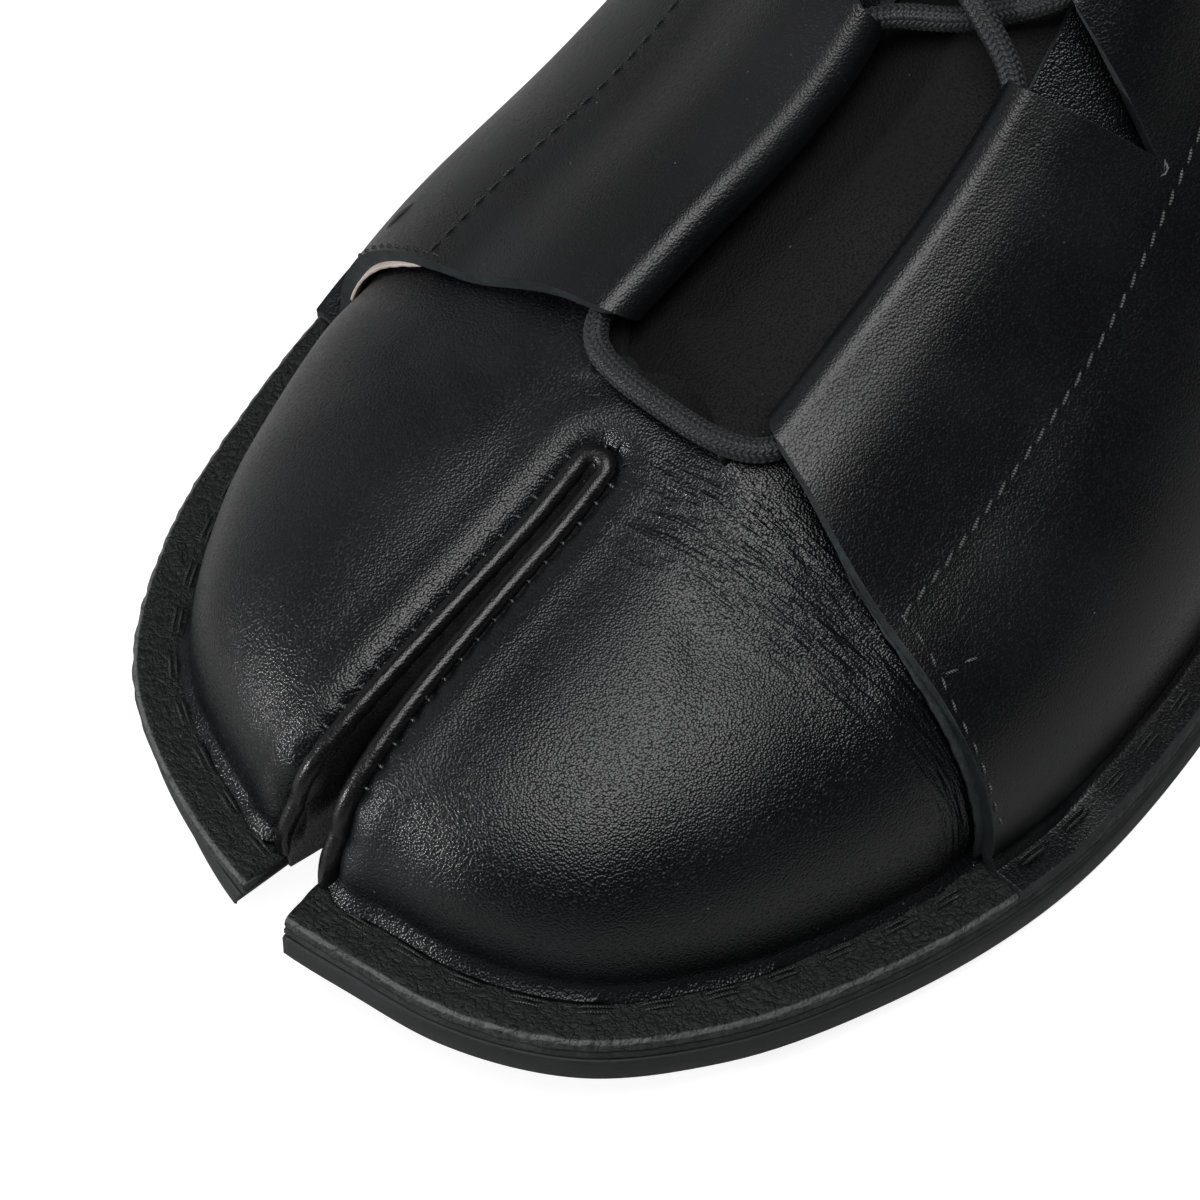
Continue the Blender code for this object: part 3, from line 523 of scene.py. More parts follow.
def stitch_run(path, normal, length, gap, radius, shift=0.0, sink=0.5, slant=0.0, material=0):
    """Stitches along a path: short tubes of equal length, arched, sunk at both ends and turned by a slant."""
    arc = arc_length(path)
    count = max(int(arc[-1] / (length + gap)), 1)
    pitch = arc[-1] / count
    share = np.linspace(0.0, 1.0, STITCH_RINGS)
    at = (np.arange(count)[:, None] + 0.5) * pitch + (share - 0.5) * length
    points = between(at, arc, path)
    up = unit(between(at, arc, normal))
    tangent = unit(np.gradient(points, axis=1))
    aside = unit(np.cross(tangent, up))
    swell = np.sin(math.pi * share)
    arch = radius * (swell - sink)
    middle = points + up * arch[None, :, None] + aside * (shift + slant * (share - 0.5))[None, :, None]
    turn = np.linspace(0.0, math.tau, STITCH_SIDES, endpoint=False)
    taper = radius * (STITCH_TIP + (1.0 - STITCH_TIP) * swell)[None, :, None, None]
    ring = np.cos(turn)[:, None] * aside[:, :, None] + np.sin(turn)[:, None] * up[:, :, None]
    body = middle[:, :, None] + taper * ring
    caps = [np.repeat(middle[:, end, None, None], STITCH_SIDES, axis=2) for end in (0, -1)]
    grid = np.concatenate((caps[0], body, caps[1]), axis=1)
    index = np.arange(grid[..., 0].size).reshape(grid.shape[:3])
    index = np.concatenate((index, index[:, :, :1]), axis=2)
    corners = (index[:, :-1, :-1], index[:, 1:, :-1], index[:, 1:, 1:], index[:, :-1, 1:])
    quads = np.stack(corners, -1).reshape(-1, 4)
    along = np.concatenate(((0.0,), share * length, (length,)))
    around = np.arange(STITCH_SIDES)[None, None, :] / STITCH_SIDES
    uv = np.stack(np.broadcast_arrays(along[None, :, None], around), -1)
    uv = np.broadcast_to(uv, grid.shape[:3] + (2,)).reshape(-1, 2)
    return grid.reshape(-1, 3), quads, uv, np.full(len(quads), material)


# Vamp

VAMP_ROWS = 116
VAMP_COLUMNS = ((0.0, 0.66, 60), (0.66, 0.9, 84), (0.9, 1.0, 56))
SPLIT_SEARCH = np.linspace(0.8, 1.2, 161)
FOOT_FILLET = 1.4
SEAM_COVER = 0.5
SEAM_DEPTH = 0.9
SEAM_WIDTH = 1.0
LOBE_PUFF = 0.55
LOBE_AT = 3.4
LOBE_WIDTH = 2.4
PUCKER = 0.16
PUCKER_AT = 1.0
PUCKER_WIDTH = 0.9
CREASES = (
    # start and end in plan, half width, depth
    ((105.0, 15.0), (93.5, 33.0), 5.4, 0.6),
    ((99.0, 14.0), (91.5, 29.0), 1.5, 0.16),
    ((96.5, 15.0), (90.8, 26.0), 1.1, 0.14),
    ((94.5, 12.0), (89.5, 22.0), 1.0, 0.12),
    ((100.5, 24.0), (95.0, 36.5), 1.2, 0.14),
    ((92.0, -13.0), (86.0, -26.0), 2.4, 0.22),
    ((96.0, -20.0), (86.5, -33.0), 3.4, 0.26),
)
CREASE_FADE = 5.0
EDGE_DIP = 1.0
EDGE_DIP_RUN = 5.0
EDGE_DIP_TOP = 0.93
EDGE_DIP_FADE = 0.4
FOOT_SINK = 0.2
THROAT_ROUND = 0.66
THROAT_FROM = 0.8
THROAT_MATERIAL = 3
THROAT_EDGE = 0.965
THROAT_MIDDLE = 0.84


def gusset_offset(forward):
    """Half distance between the middles of the gusset's walls, wider to the front by a power of the way."""
    share = np.clip(forward / SPLIT_FRONT, 0.0, 1.0)
    return (SLIT_REAR + (SLIT_FRONT - SLIT_REAR) * share**SLIT_FLARE + GUSSET_WALL) / 2


def split_line():
    """The skin along the toe's meridian in the split's frame, from the foot over the toe to the rear."""
    t = np.linspace(0.0, SPLIT_TOP, 4 * MERIDIAN_SAMPLES)
    line = skin(np.ones(len(t)), t)
    forward, _ = split_frame(line)
    return forward, line[:, 2]


SPLIT_FORWARD, SPLIT_HEIGHT = split_line()
SPLIT_TIP = np.argmax(SPLIT_FORWARD)
SPLIT_FRONT = SPLIT_FORWARD[SPLIT_TIP]


def opening_half(forward):
    """Half width of the opening that the beads cover: the slit's walls ahead, a round end behind."""
    radius = gusset_offset(0.0) + GUSSET_WALL / 2 - SEAM_COVER
    legs = gusset_offset(forward) + GUSSET_WALL / 2 - SEAM_COVER
    end = np.sqrt(np.clip(radius**2 - np.minimum(forward, 0.0) ** 2, 0.0, None))
    return np.where(forward > 0.0, legs, end)


def from_opening(points):
    """Distance outside the opening's edge, and the way along that edge from its rear end."""
    forward, sideways = split_frame(points)
    radius = opening_half(np.zeros(1))[0]
    beside = np.abs(sideways) - opening_half(np.maximum(forward, 0.0))
    behind = np.hypot(forward, sideways) - radius
    turn = radius * np.arctan2(np.abs(sideways), -forward)
    along = np.where(forward > 0.0, forward + radius * math.pi / 2, turn)
    return np.where(forward > 0.0, beside, behind), along


def segment_relief(points, start, end, width, depth):
    """A soft trough along a line in plan, fading out past both of its ends."""
    start, end = np.array(start), np.array(end)
    run = np.linalg.norm(end - start)
    along = (end - start) / run
    offset = points[..., :2] - start
    forward = offset @ along
    sideways = offset @ np.array((-along[1], along[0]))
    fade = smooth_step(forward / CREASE_FADE + 0.5) * smooth_step((run - forward) / CREASE_FADE + 0.5)
    return -depth * fade * bell(sideways, width)


def vamp_relief(points):
    """Height off the skin: seam groove, puffed lobes and stitch puckers by the split, and the creases."""
    outside, along = from_opening(points)
    groove = SEAM_DEPTH * bell(outside, SEAM_WIDTH)
    puff = LOBE_PUFF * bell(outside - LOBE_AT, LOBE_WIDTH)
    pucker = PUCKER * np.cos(math.tau * along / SEAM_PITCH) * bell(outside - PUCKER_AT, PUCKER_WIDTH)
    relief = puff - groove + pucker
    for start, end, width, depth in CREASES:
        relief = relief + segment_relief(points, start, end, width, depth)
    return relief


def turn_of(place):
    """How far round from the heel a place lies, 0 at the heel and 1 at the toe on either side."""
    return np.abs(np.mod(place + 1.0, 2.0) - 1.0)


def rim_way(place):
    """Distance of the upper's top edge below the rim: set back along the facings, past it at the throat."""
    share = smooth_step((turn_of(place) - TUCK_ROUND[0]) / (TUCK_ROUND[1] - TUCK_ROUND[0]))
    return RIM_SETBACK + (RIM_TUCK - RIM_SETBACK) * share


def throat_material(share, place):
    """Material step of each face: 0 on the wall, 1 unlined at the throat's top, 2 for its last rows, given
    the darker, duller tongue finish as painted shade under the cord.
    """
    shaded_last_rows = (share > THROAT_EDGE) & ((place < 0.0) | (turn_of(place) > THROAT_MIDDLE))
    step = (share > THROAT_FROM) + 1 * shaded_last_rows
    return THROAT_MATERIAL * step * (turn_of(place) > THROAT_ROUND)


def make_vamp(materials):
    """The upper: both sides from the heel round to the split, where each row stops at the opening."""
    shares = np.linspace(0.0, 1.0, VAMP_ROWS)[:, None]
    rim = t_from_rim(SPLIT_SEARCH, rim_way(SPLIT_SEARCH))
    forward, sideways = split_frame(skin(SPLIT_SEARCH[None, :], shares * rim[None, :]))
    half = opening_half(forward)
    outer_end = crossing(sideways - half, SPLIT_SEARCH)
    inner_end = crossing(sideways + half, SPLIT_SEARCH) - 2.0
    runs = [np.linspace(first, last, count, endpoint=False) for first, last, count in VAMP_COLUMNS]
    columns = np.concatenate((*runs, (1.0,)))
    sheets = []
    for end, order in ((outer_end, 1), (inner_end, -1)):
        place = end[:, None] * columns[None, ::order]
        t = shares * t_from_rim(place, rim_way(place))
        points = skin(place, t)
        normal = skin_normal(place, np.maximum(t, LOWEST_T))
        dip = EDGE_DIP * bell(np.maximum(ahead_of_vamp_line(points), 0.0), EDGE_DIP_RUN)
        off_throat = smooth_step((EDGE_DIP_TOP - shares) / EDGE_DIP_FADE)
        points = points + normal * (vamp_relief(points) - dip * off_throat)[..., None]
        edge, outward = sole_edge(place)
        foot = sole_rise(edge[..., 0]) + FLANGE_TOP
        low = np.clip(1.0 - (points[..., 2] - foot) / FOOT_FILLET, 0.0, 1.0)
        points[..., :2] += outward * (FOOT_FILLET * (1.0 - np.sqrt(1.0 - low**2)))[..., None]
        points[..., 2] -= FOOT_SINK * low**2
        material = throat_material(shares, place)[:-1, :-1]
        sheets.append(grid_sheet(points, material=material.ravel()))
    piece = make_piece("vamp", sheets, materials, "vamp_leather", ("upper",))
    thicken(piece, LEATHER, 1, 2)
    return piece


# Flange

FLANGE_COLUMNS = 900
FLANGE_PROFILE = (
    # from the sole edge in, or from the wall's foot out where marked 1, and height below the flange's top
    (-2.0, 1, 1.9),
    (0.55, 0, 1.9),
    (0.12, 0, 1.7),
    (0.0, 0, 1.2),
    (0.1, 0, 0.7),
    (0.22, 0, 0.42),
    (0.62, 0, 0.06),
    (1.2, 0, 0.0),
    (1.9, 0, 0.0),
    (2.6, 0, 0.02),
    (3.2, 0, 0.05),
    (2.4, 1, 0.06),
    (1.6, 1, 0.08),
    (0.8, 1, 0.06),
    (-2.0, 1, 0.1),
)
SIDE_LENGTH = 365.0
TOP_DROP = 0.4
WAVE_SPREAD = 1.1
FLANGE_RAGGED = 0.05
RAGGED_FADE = 0.5
FLANGE_WRINKLE = 0.07
WRINKLE_SQUEEZE = 2.2
# count, shortest and longest wave, seed
RAGGED_WAVES = (14, 1.9, 6.0, 3)
WRINKLE_WAVES = (26, 2.0, 6.0, 5)
SLOT_SEARCH = np.linspace(0.92, 1.08, 321)


def waves(along, across, count, short, long, seed):
    """Sum of sine waves with random directions and lengths between the two given, about 1 high."""
    draw = np.random.default_rng(seed)
    total = np.zeros(np.broadcast(along, across).shape)
    lengths = draw.uniform(short, long, count)
    headings = draw.uniform(-WAVE_SPREAD, WAVE_SPREAD, count)
    phases = draw.uniform(0.0, math.tau, count)
    for length, heading, phase in zip(lengths, headings, phases):
        turn = math.tau / length
        total = total + np.sin(turn * (along * math.cos(heading) + across * math.sin(heading)) + phase)
    return total / math.sqrt(count / 2)


def slot_ends(inset):
    """Signed places on both sides where a line inset from the sole edge meets the flared toe slot."""
    points, _ = sole_edge(SLOT_SEARCH[None, :], np.broadcast_to(inset, (len(inset), len(SLOT_SEARCH))))
    _, sideways = split_frame(points)
    share = smooth_step(1.0 - inset / SLOT_FLARE_RUN)
    outer, inner = [SOLE_SLOT_HALF + (SLOT_FRONT_HALF[side] - SOLE_SLOT_HALF) * share for side in SIDES]
    return crossing(sideways - outer, SLOT_SEARCH), crossing(sideways + inner, SLOT_SEARCH) - 2.0


def make_flange(material):
    """The upper's turned-out foot: a strip section carried round the sole, cut by the toe slot."""
    toe_edge, _ = sole_edge(np.ones(1))
    toe_width = flange_width(toe_edge)[0]
    reach, from_wall, drop = np.array(FLANGE_PROFILE).T
    toe_inset = np.where(from_wall > 0, toe_width - reach, FLANGE_TRIM + reach)
    outer, inner = slot_ends(toe_inset[:, None])
    share = np.linspace(0.0, 1.0, FLANGE_COLUMNS)[None, :]
    place = blend(inner[:, None], outer[:, None], share)
    edge, _ = sole_edge(place)
    width = flange_width(edge)
    inset = np.where(from_wall[:, None] > 0, width - reach[:, None], FLANGE_TRIM + reach[:, None])
    along = place * SIDE_LENGTH
    ragged = FLANGE_RAGGED * waves(along, 0.0, *RAGGED_WAVES)
    inset = inset + np.where(from_wall[:, None] > 0, 0.0, ragged * bell(reach[:, None], RAGGED_FADE))
    points, _ = sole_edge(place, inset)
    wrinkle = FLANGE_WRINKLE * waves(along, WRINKLE_SQUEEZE * inset, *WRINKLE_WAVES)
    top = (drop[:, None] < TOP_DROP) & (reach[:, None] > 0.0)
    height = sole_rise(points[..., 0]) + FLANGE_TOP - drop[:, None] + np.where(top, wrinkle, 0.0)
    grid = np.concatenate((points, height[..., None]), axis=2)
    grid = np.concatenate((grid, grid[:1]))
    uv = np.stack((np.concatenate((along, along[:1])), np.concatenate((inset, inset[:1]))), -1)
    uv = np.concatenate((uv[:, :1], uv, uv[:, -1:]), axis=1)
    return make_piece("flange", [grid_sheet(capped(grid), uv=uv)], [material], "vamp_leather")


# Quarters

# rows of the flange, its fillet, the wall, the tunnel and the curled edge
QUARTER_ROWS = (6, 5, 46, 30, 12)
QUARTER_COLUMNS = (96, 34, 64)
QUARTER_FILLET = 1.2
FILLET_TURN = (math.radians(15.0), math.radians(70.0))
TUNNEL_FIRST = 0.02
FRONT_SEARCH = np.linspace(0.66, 0.82, 81)
WALL_START = 3.4
WALL_WAY = 58.0
SKIVED = 0.4
CURL_BACK = 4.0
CURL_BACK_POWER = 1.5
SKIVE_ROUND = (0.69, 0.72)
EDGE_AHEAD = {
    # way down from the rim, and how far ahead of the vamp line the front edge lies
    1: ((-4.0, -1.6), (0.0, -1.5), (6.0, -0.8), (13.0, 0.0), (36.0, 0.0), (58.0, 0.0)),
    -1: ((-4.0, -0.6), (0.0, -0.3), (5.0, 0.3), (11.0, 0.9), (16.0, 1.3), (22.0, 1.5), (30.0, 1.2),
         (37.0, 0.5), (44.0, -0.2), (58.0, -0.4)),
}


def tunnel_swell(place, way):
    """Height of the lace tunnel over the quarter's wall at a way down from the rim."""
    full = TUNNEL_LIFT * tunnel_lift(place)
    return full * smooth_step((TUNNEL_SEAM - way) / (TUNNEL_SEAM - TUNNEL_FLAT))


def tunnel_lift(place):
    """Share of the lace tunnel's height: full along the facing, low along the collar."""
    facing = smooth_step((np.abs(place) - COLLAR_ROUND) / (FACING_ROUND - COLLAR_ROUND))
    return COLLAR_LIFT + (1.0 - COLLAR_LIFT) * facing


def skived(place):
    """Share of the flange's thickness that is pared away: none behind, most near the vamp line."""
    return (1.0 - SKIVED) * smooth_step((np.abs(place) - SKIVE_ROUND[0]) / (SKIVE_ROUND[1] - SKIVE_ROUND[0]))


def curl_centre(lift):
    """Height of the middle of the curled edge, from the share of the tunnel's height and half the leather."""
    return (TUNNEL_LIFT * lift + LEATHER / 2) / 2


def quarter_surface(place):
    """Outer face of a quarter, row by row: flange, fillet, wall, tunnel and the edge curled under."""
    flange, fillet, wall, tunnel, curl = np.split(place, np.cumsum(QUARTER_ROWS)[:-1])

    def share(rows, start=0.0, end=1.0):
        """Even steps from start to end, one for each row."""
        return np.linspace(start, end, len(rows))[:, None]

    edge, outward = sole_edge(flange)
    width = flange_width(edge)
    inset = FLANGE_TRIM + (width - QUARTER_FILLET - LEATHER - FLANGE_TRIM) * share(flange)
    plan = edge - outward * inset[..., None]
    rise = LEATHER * (1.0 - skived(flange))
    flange_points = np.dstack((plan, sole_rise(plan[..., 0]) + FLANGE_TOP + rise))

    edge, outward = sole_edge(fillet)
    angle = share(fillet, *FILLET_TURN)
    out = LEATHER + QUARTER_FILLET * (1.0 - np.sin(angle)) - flange_width(edge)
    plan = edge + outward * out[..., None]
    pared = skived(fillet) * (1.0 - share(fillet))
    rise = LEATHER * (1.0 - pared) + QUARTER_FILLET * (1.0 - np.cos(angle))
    fillet_points = np.dstack((plan, sole_rise(plan[..., 0]) + FLANGE_TOP + rise))

    # a cubic leaves its first point three times as fast as its first control point lies away
    start = WALL_START / (3.0 * section_at(wall.ravel())[:, SECTION_RISE].reshape(wall.shape))
    t = start + (t_from_rim(wall, TUNNEL_SEAM) - start) * share(wall)
    wall_points = skin(wall, t) + LEATHER * skin_normal(wall, t)

    centre = curl_centre(tunnel_lift(tunnel))
    way = TUNNEL_SEAM + (centre - TUNNEL_SEAM) * share(tunnel, TUNNEL_FIRST)
    tunnel_points = off_skin(tunnel, way, LEATHER + tunnel_swell(tunnel, way))

    centre = curl_centre(tunnel_lift(curl))
    radius = centre + LEATHER / 2
    angle = share(curl, CURL_END / len(curl), CURL_END)
    curl_points = off_skin(curl, centre - radius * np.sin(angle), centre + radius * np.cos(angle))
    return np.concatenate((flange_points, fillet_points, wall_points, tunnel_points, curl_points))


def row_ways():
    """Distance from the rim of each row of a quarter near its front, the same for all rows of the flange."""
    flange, fillet, wall, tunnel, curl = QUARTER_ROWS
    centre = curl_centre(1.0)
    foot_ways = np.full(flange + fillet, WALL_WAY)
    wall_ways = np.linspace(WALL_WAY, TUNNEL_SEAM, wall)
    tunnel_ways = TUNNEL_SEAM + (centre - TUNNEL_SEAM) * np.linspace(TUNNEL_FIRST, 1.0, tunnel)
    angle = np.linspace(CURL_END / curl, CURL_END, curl)
    curl_ways = centre - (centre + LEATHER / 2) * np.sin(angle)
    return np.concatenate((foot_ways, wall_ways, tunnel_ways, curl_ways))


def notch_edges():
    """Places of the two edges of each notch for every row of a quarter: together below the notch's point."""
    share = np.clip((row_ways() + NOTCH_MOUTH) / (NOTCH_DEPTH + NOTCH_MOUTH), 0.0, 1.0)
    return [(low + (apex - low) * share, high + (apex - high) * share) for low, apex, high in NOTCHES]


def vamp_line_places(side):
    """Place in each row of a quarter where it meets the vamp line."""
    place = side * np.broadcast_to(FRONT_SEARCH, (sum(QUARTER_ROWS), len(FRONT_SEARCH)))
    knots, values = np.array(EDGE_AHEAD[side]).T
    ahead = through(knots, values[:, None], row_ways())
    curl = QUARTER_ROWS[-1]
    ahead[-curl:, 0] -= CURL_BACK * np.linspace(0.0, 1.0, curl) ** CURL_BACK_POWER
    return crossing(ahead - ahead_of_vamp_line(quarter_surface(place)), FRONT_SEARCH)


def make_quarter(name, side, materials, node):
    """One quarter in three runs of columns, parted by the notches above their points."""
    front, rear = notch_edges()
    first = np.full(sum(QUARTER_ROWS), BACK_SEAM_ROUND)
    runs = ((first, rear[1]), (rear[0], front[1]), (front[0], vamp_line_places(side)))
    sheets = []
    for (start, end), count in zip(runs, QUARTER_COLUMNS):
        share = np.linspace(0.0, 1.0, count)[None, ::side]
        place = side * blend(start[:, None], end[:, None], share)
        sheets.append(grid_sheet(quarter_surface(place)))
    piece = make_piece(name, sheets, materials, "quarter_leather", (node,))
    thicken(piece, LEATHER, 1, 2)
    return piece


# Toe split

WALL_HALF = 1.17
SPLIT_COLUMNS = 200
SPLIT_CROWD = 1.2
SPLIT_END_POINTS = 25
WALL_CLEAR = 0.1
BEAD_PUCKER = 0.035
BEAD_STEP = 0.35
BEAD_SIDES = 18
FRONT_STEP = 6
STEEP_GAIN = 1.4
STEEP_START = 0.3


def split_top(forward):
    """Height of the skin on the split's axis at distances forward, on the toe's upper side."""
    return np.interp(forward, SPLIT_FORWARD[SPLIT_TIP:][::-1], SPLIT_HEIGHT[SPLIT_TIP:][::-1])


def hairpin():
    """Plan path along the outer side of the split, round its rear end and back, in the split's frame."""
    leg = SPLIT_FRONT * np.linspace(1.0, 0.0, SPLIT_COLUMNS) ** SPLIT_CROWD
    radius = gusset_offset(0.0)
    turn = np.linspace(math.pi / 2, 3 * math.pi / 2, SPLIT_END_POINTS)[1:-1]
    offset = gusset_offset(leg)
    forward = np.concatenate((leg, radius * np.cos(turn), leg[::-1]))
    sideways = np.concatenate((offset, radius * np.sin(turn), -offset[::-1]))
    return forward, sideways


def bead_path():
    """Middle line of the bead: up one side of the toe, along the split, round its end and back."""
    forward, sideways = hairpin()
    rise = np.arange(0, SPLIT_TIP + 1, FRONT_STEP)
    front_forward, front_height = SPLIT_FORWARD[rise], SPLIT_HEIGHT[rise]
    front_side = gusset_offset(front_forward)
    path_forward = np.concatenate((front_forward, forward[1:-1], front_forward[::-1]))
    path_side = np.concatenate((front_side, sideways[1:-1], -front_side[::-1]))
    height = np.concatenate((front_height, split_top(forward)[1:-1], front_height[::-1]))
    path = np.column_stack((split_plan(path_forward, path_side), height))
    path = resample(path, np.arange(0.0, arc_length(path)[-1], BEAD_STEP))
    tangent = unit(np.gradient(path, axis=0))
    ahead = np.append(SPLIT_ALONG, 0.0)
    steep = np.clip(np.abs(tangent[:, 2:]) * STEEP_GAIN - STEEP_START, 0.0, 1.0)
    normal = unit(blend(np.array(UPWARD), ahead, steep))
    return path + normal * (GUSSET_BEAD - BEAD_RADIUS), normal


def make_split(materials):
    """The gusset: two walls on edge joined at the rear, each with a rolled bead along its top."""
    forward, sideways = hairpin()
    plan = split_plan(forward, sideways)
    heading = unit(np.gradient(plan, axis=0))
    aside = np.stack((-heading[:, 1], heading[:, 0]), -1)
    low = sole_rise(plan[:, 0]) + BOARD_BASE + WALL_CLEAR
    top = split_top(forward) + GUSSET_BEAD - BEAD_RADIUS
    corners = ((-1, low), (-1, top), (1, top), (1, low), (-1, low))
    rows = [np.column_stack((plan + aside * WALL_HALF * reach, z)) for reach, z in corners]
    walls = grid_sheet(capped(np.stack(rows)))
    path, normal = bead_path()
    pucker = 1.0 - BEAD_PUCKER * (0.5 + 0.5 * np.cos(math.tau * arc_length(path) / SEAM_PITCH))
    bead = tube(path, normal, (BEAD_RADIUS * pucker)[:, None], BEAD_SIDES)
    return make_piece("toe_split", [walls, bead], materials, "gusset_leather", ("toe_gusset",))


# Tongue

TONGUE_ROWS = 90
TONGUE_COLUMNS = 40
PROUD_ROWS = 8
RISE_ROW = 4


def make_tongue(materials):
    """A strip under both facings, arched between two edges that lie inside the upper."""
    places = np.linspace(TONGUE_TOP_ROUND, TONGUE_FRONT_ROUND, TONGUE_ROWS)
    depth = LEATHER + TONGUE_SINK
    edges = np.stack([off_skin(side * places, TONGUE_EDGE, -depth) for side in SIDES])
    rise = unit(edges[:, :1] - edges[:, RISE_ROW : RISE_ROW + 1])
    proud = edges[:, :1] + rise * np.linspace(TONGUE_PROUD, 0.0, PROUD_ROWS, endpoint=False)[None, :, None]
    edges = np.concatenate((proud, edges), axis=1)
    crown = np.interp(np.concatenate((np.full(PROUD_ROWS, places[0]), places)), *TONGUE_CROWN)
    share = np.linspace(0.0, 1.0, TONGUE_COLUMNS)[None, :, None]
    flat = blend(edges[0][:, None], edges[1][:, None], share)
    axis = np.gradient(edges.mean(axis=0), axis=0)
    up = np.cross(edges[1] - edges[0], axis)
    up = unit(up * np.sign(up[:, 2:]))
    top = flat + up[:, None] * (4.0 * share * (1.0 - share) * crown[:, None, None])
    piece = make_piece("tongue_strip", [grid_sheet(top[:, ::-1])], materials, "tongue_leather", ("tongue",))
    thicken(piece, TONGUE_THICK, 0, 0)
    return piece


# Lace

BRAID_COLUMNS = 12
BRAID_SIDES = 4 * BRAID_COLUMNS
BRAID_STEP = 0.21
BRAID_PITCH = 0.68
BRAID_SLANT = 0.8
BRAID_DEPTH = 0.16
BRAID_ROUND = 0.9
MOUTH_SEARCH = np.linspace(TUNNEL_PLACES[0], 0.765, 81)


def tunnel_mouth(side):
    """Where the cord comes out from under the front corner of a facing, at the vamp line."""
    line = off_skin(side * MOUTH_SEARCH, MOUTH_IN, LACE_LIFT)
    return between(BAR_AHEAD[side], ahead_of_vamp_line(line), line)


def lace_route():
    """The cord's points: up both facings from the bar at the vamp line, crossing at each notch."""

    def at(places, reach):
        """Points of the cord's middle at places round the foot and reaches down from the rim."""
        return off_skin(places, reach, LACE_LIFT)

    strands = []
    for side in SIDES:
        points = [tunnel_mouth(side)[None], at(side * np.array(TUNNEL_PLACES), LACE_IN)]
        here, over = side, side
        for lower, _, upper in NOTCHES:
            leave = here * np.array((lower + TUNNEL_TURN, lower - NOTCH_LEAVE))
            enter = -here * np.array((upper, upper - TUNNEL_TURN))
            ends = at(np.concatenate((leave, enter)), (LACE_IN, RIM_OVER, RIM_OVER, LACE_IN))
            middle = ends[1:3].mean(axis=0) + (0.0, 0.0, CROSSING_HALF * over)
            points += [ends[:2], middle[None], ends[2:]]
            here, over = -here, -over
        points.append(at(here * np.array((LACE_TOP_ROUND,)), LACE_IN))
        strands.append(np.concatenate(points))
    return np.concatenate((strands[0][::-1], at((1.0,), BAR_REACH), strands[1]))


def make_lace(materials):
    """The braided cord: a tube along the route, its strands slanting both ways in turn by columns."""
    route = lace_route()
    knots = arc_length(route)
    path = through(knots, route, np.arange(0.0, knots[-1], BRAID_STEP))
    arc = arc_length(path)[:, None]
    column = BRAID_COLUMNS * np.arange(BRAID_SIDES)[None, :] / BRAID_SIDES
    across = column - np.floor(column) - 0.5
    slope = BRAID_SLANT * np.where(np.floor(column) % 2 > 0, 1.0, -1.0)
    stroke = 0.5 + 0.5 * np.sin(math.tau * (arc / BRAID_PITCH + slope * across))
    radius = LACE / 2 - BRAID_DEPTH * (1.0 - stroke * np.cos(math.pi * across * BRAID_ROUND))
    upright = np.zeros_like(path) + UPWARD
    return make_piece("lace_cord", [tube(path, upright, radius, BRAID_SIDES)], materials, "cord", ("lace",))


# Sole layers and heel

SOLE_STATIONS = (150, 60)
SOLE_COLUMNS = 12
SOLE_ROUND = 0.3
SLOT_END_POINTS = 9


def undercut_edge(inset):
    """Outline of a sole layer: the sole edge moved in, and a little more under the big toe."""

    def outline(place):
        """Plan points at places round the sole."""
        more = np.interp(np.mod(place, 2.0), UNDERCUT_PLACES, (0.0, TOE_UNDERCUT, TOE_UNDERCUT, 0.0))
        return sole_edge(place, inset + more)[0]

    return outline


def feather_edge(inset):
    """Outline of the insole: the foot of the wall, moved in."""

    def outline(place):
        """Plan points at places round the sole."""
        edge, outward = sole_edge(place)
        return edge - outward * (flange_width(edge) + inset)[..., None]

    return outline


SLOT_END = split_frame(np.array(SOLE_EDGE[SPLIT_ROW]))[0] - SOLE_SLOT_LENGTH
LAYER_ROUND = np.linspace(0.3, 1.12, 1641)
LAYER_SLOTS = {
    # on each side, half width of the slot at its rear and front: at the layer's underside, then at its top
    "insole": {1: ((2.5, 2.5), (2.5, 2.5)), -1: ((2.5, 2.5), (2.5, 2.5))},
    "midsole": {1: ((2.5, 3.6), (2.5, 3.6)), -1: ((3.5, 3.5), (2.5, 2.9))},
    "outsole": {1: ((2.5, 3.6), (2.5, 3.6)), -1: ((5.2, 5.2), (3.5, 3.5))},
}


def raised(plan, z):
    """Points above or below plan points, at a height over the sole's rise."""
    return np.concatenate((plan, (sole_rise(plan[..., 0]) + z)[..., None]), -1)


def half_layer(outline, shrink, side, halves):
    """One side of one face of a sole layer: its places round the outline and its path along the toe slot."""
    half, front_half = halves
    forward, sideways = split_frame(outline(side * LAYER_ROUND))
    ahead = np.argmax(forward > SLOT_END)
    corner = np.argmax(side * sideways[ahead:] < front_half) + ahead
    rear = np.linspace(0.0, LAYER_ROUND[ahead], SOLE_STATIONS[0])
    front = np.linspace(LAYER_ROUND[ahead], LAYER_ROUND[corner], SOLE_STATIONS[1])
    places = side * np.concatenate((rear, front[1:]))
    last = shrink(places[-1:])[0]
    turn = np.linspace(math.pi, math.pi / 2, SLOT_END_POINTS)
    slot_forward = np.append(SLOT_END + half * (1.0 + np.cos(turn)), split_frame(last)[0])
    slot_path = split_plan(slot_forward, side * np.append(half * np.sin(turn), front_half))
    slot_path = resample(slot_path, np.linspace(0.0, arc_length(slot_path)[-1], SOLE_STATIONS[1]))
    slot_path[-1] = last
    return places, slot_path


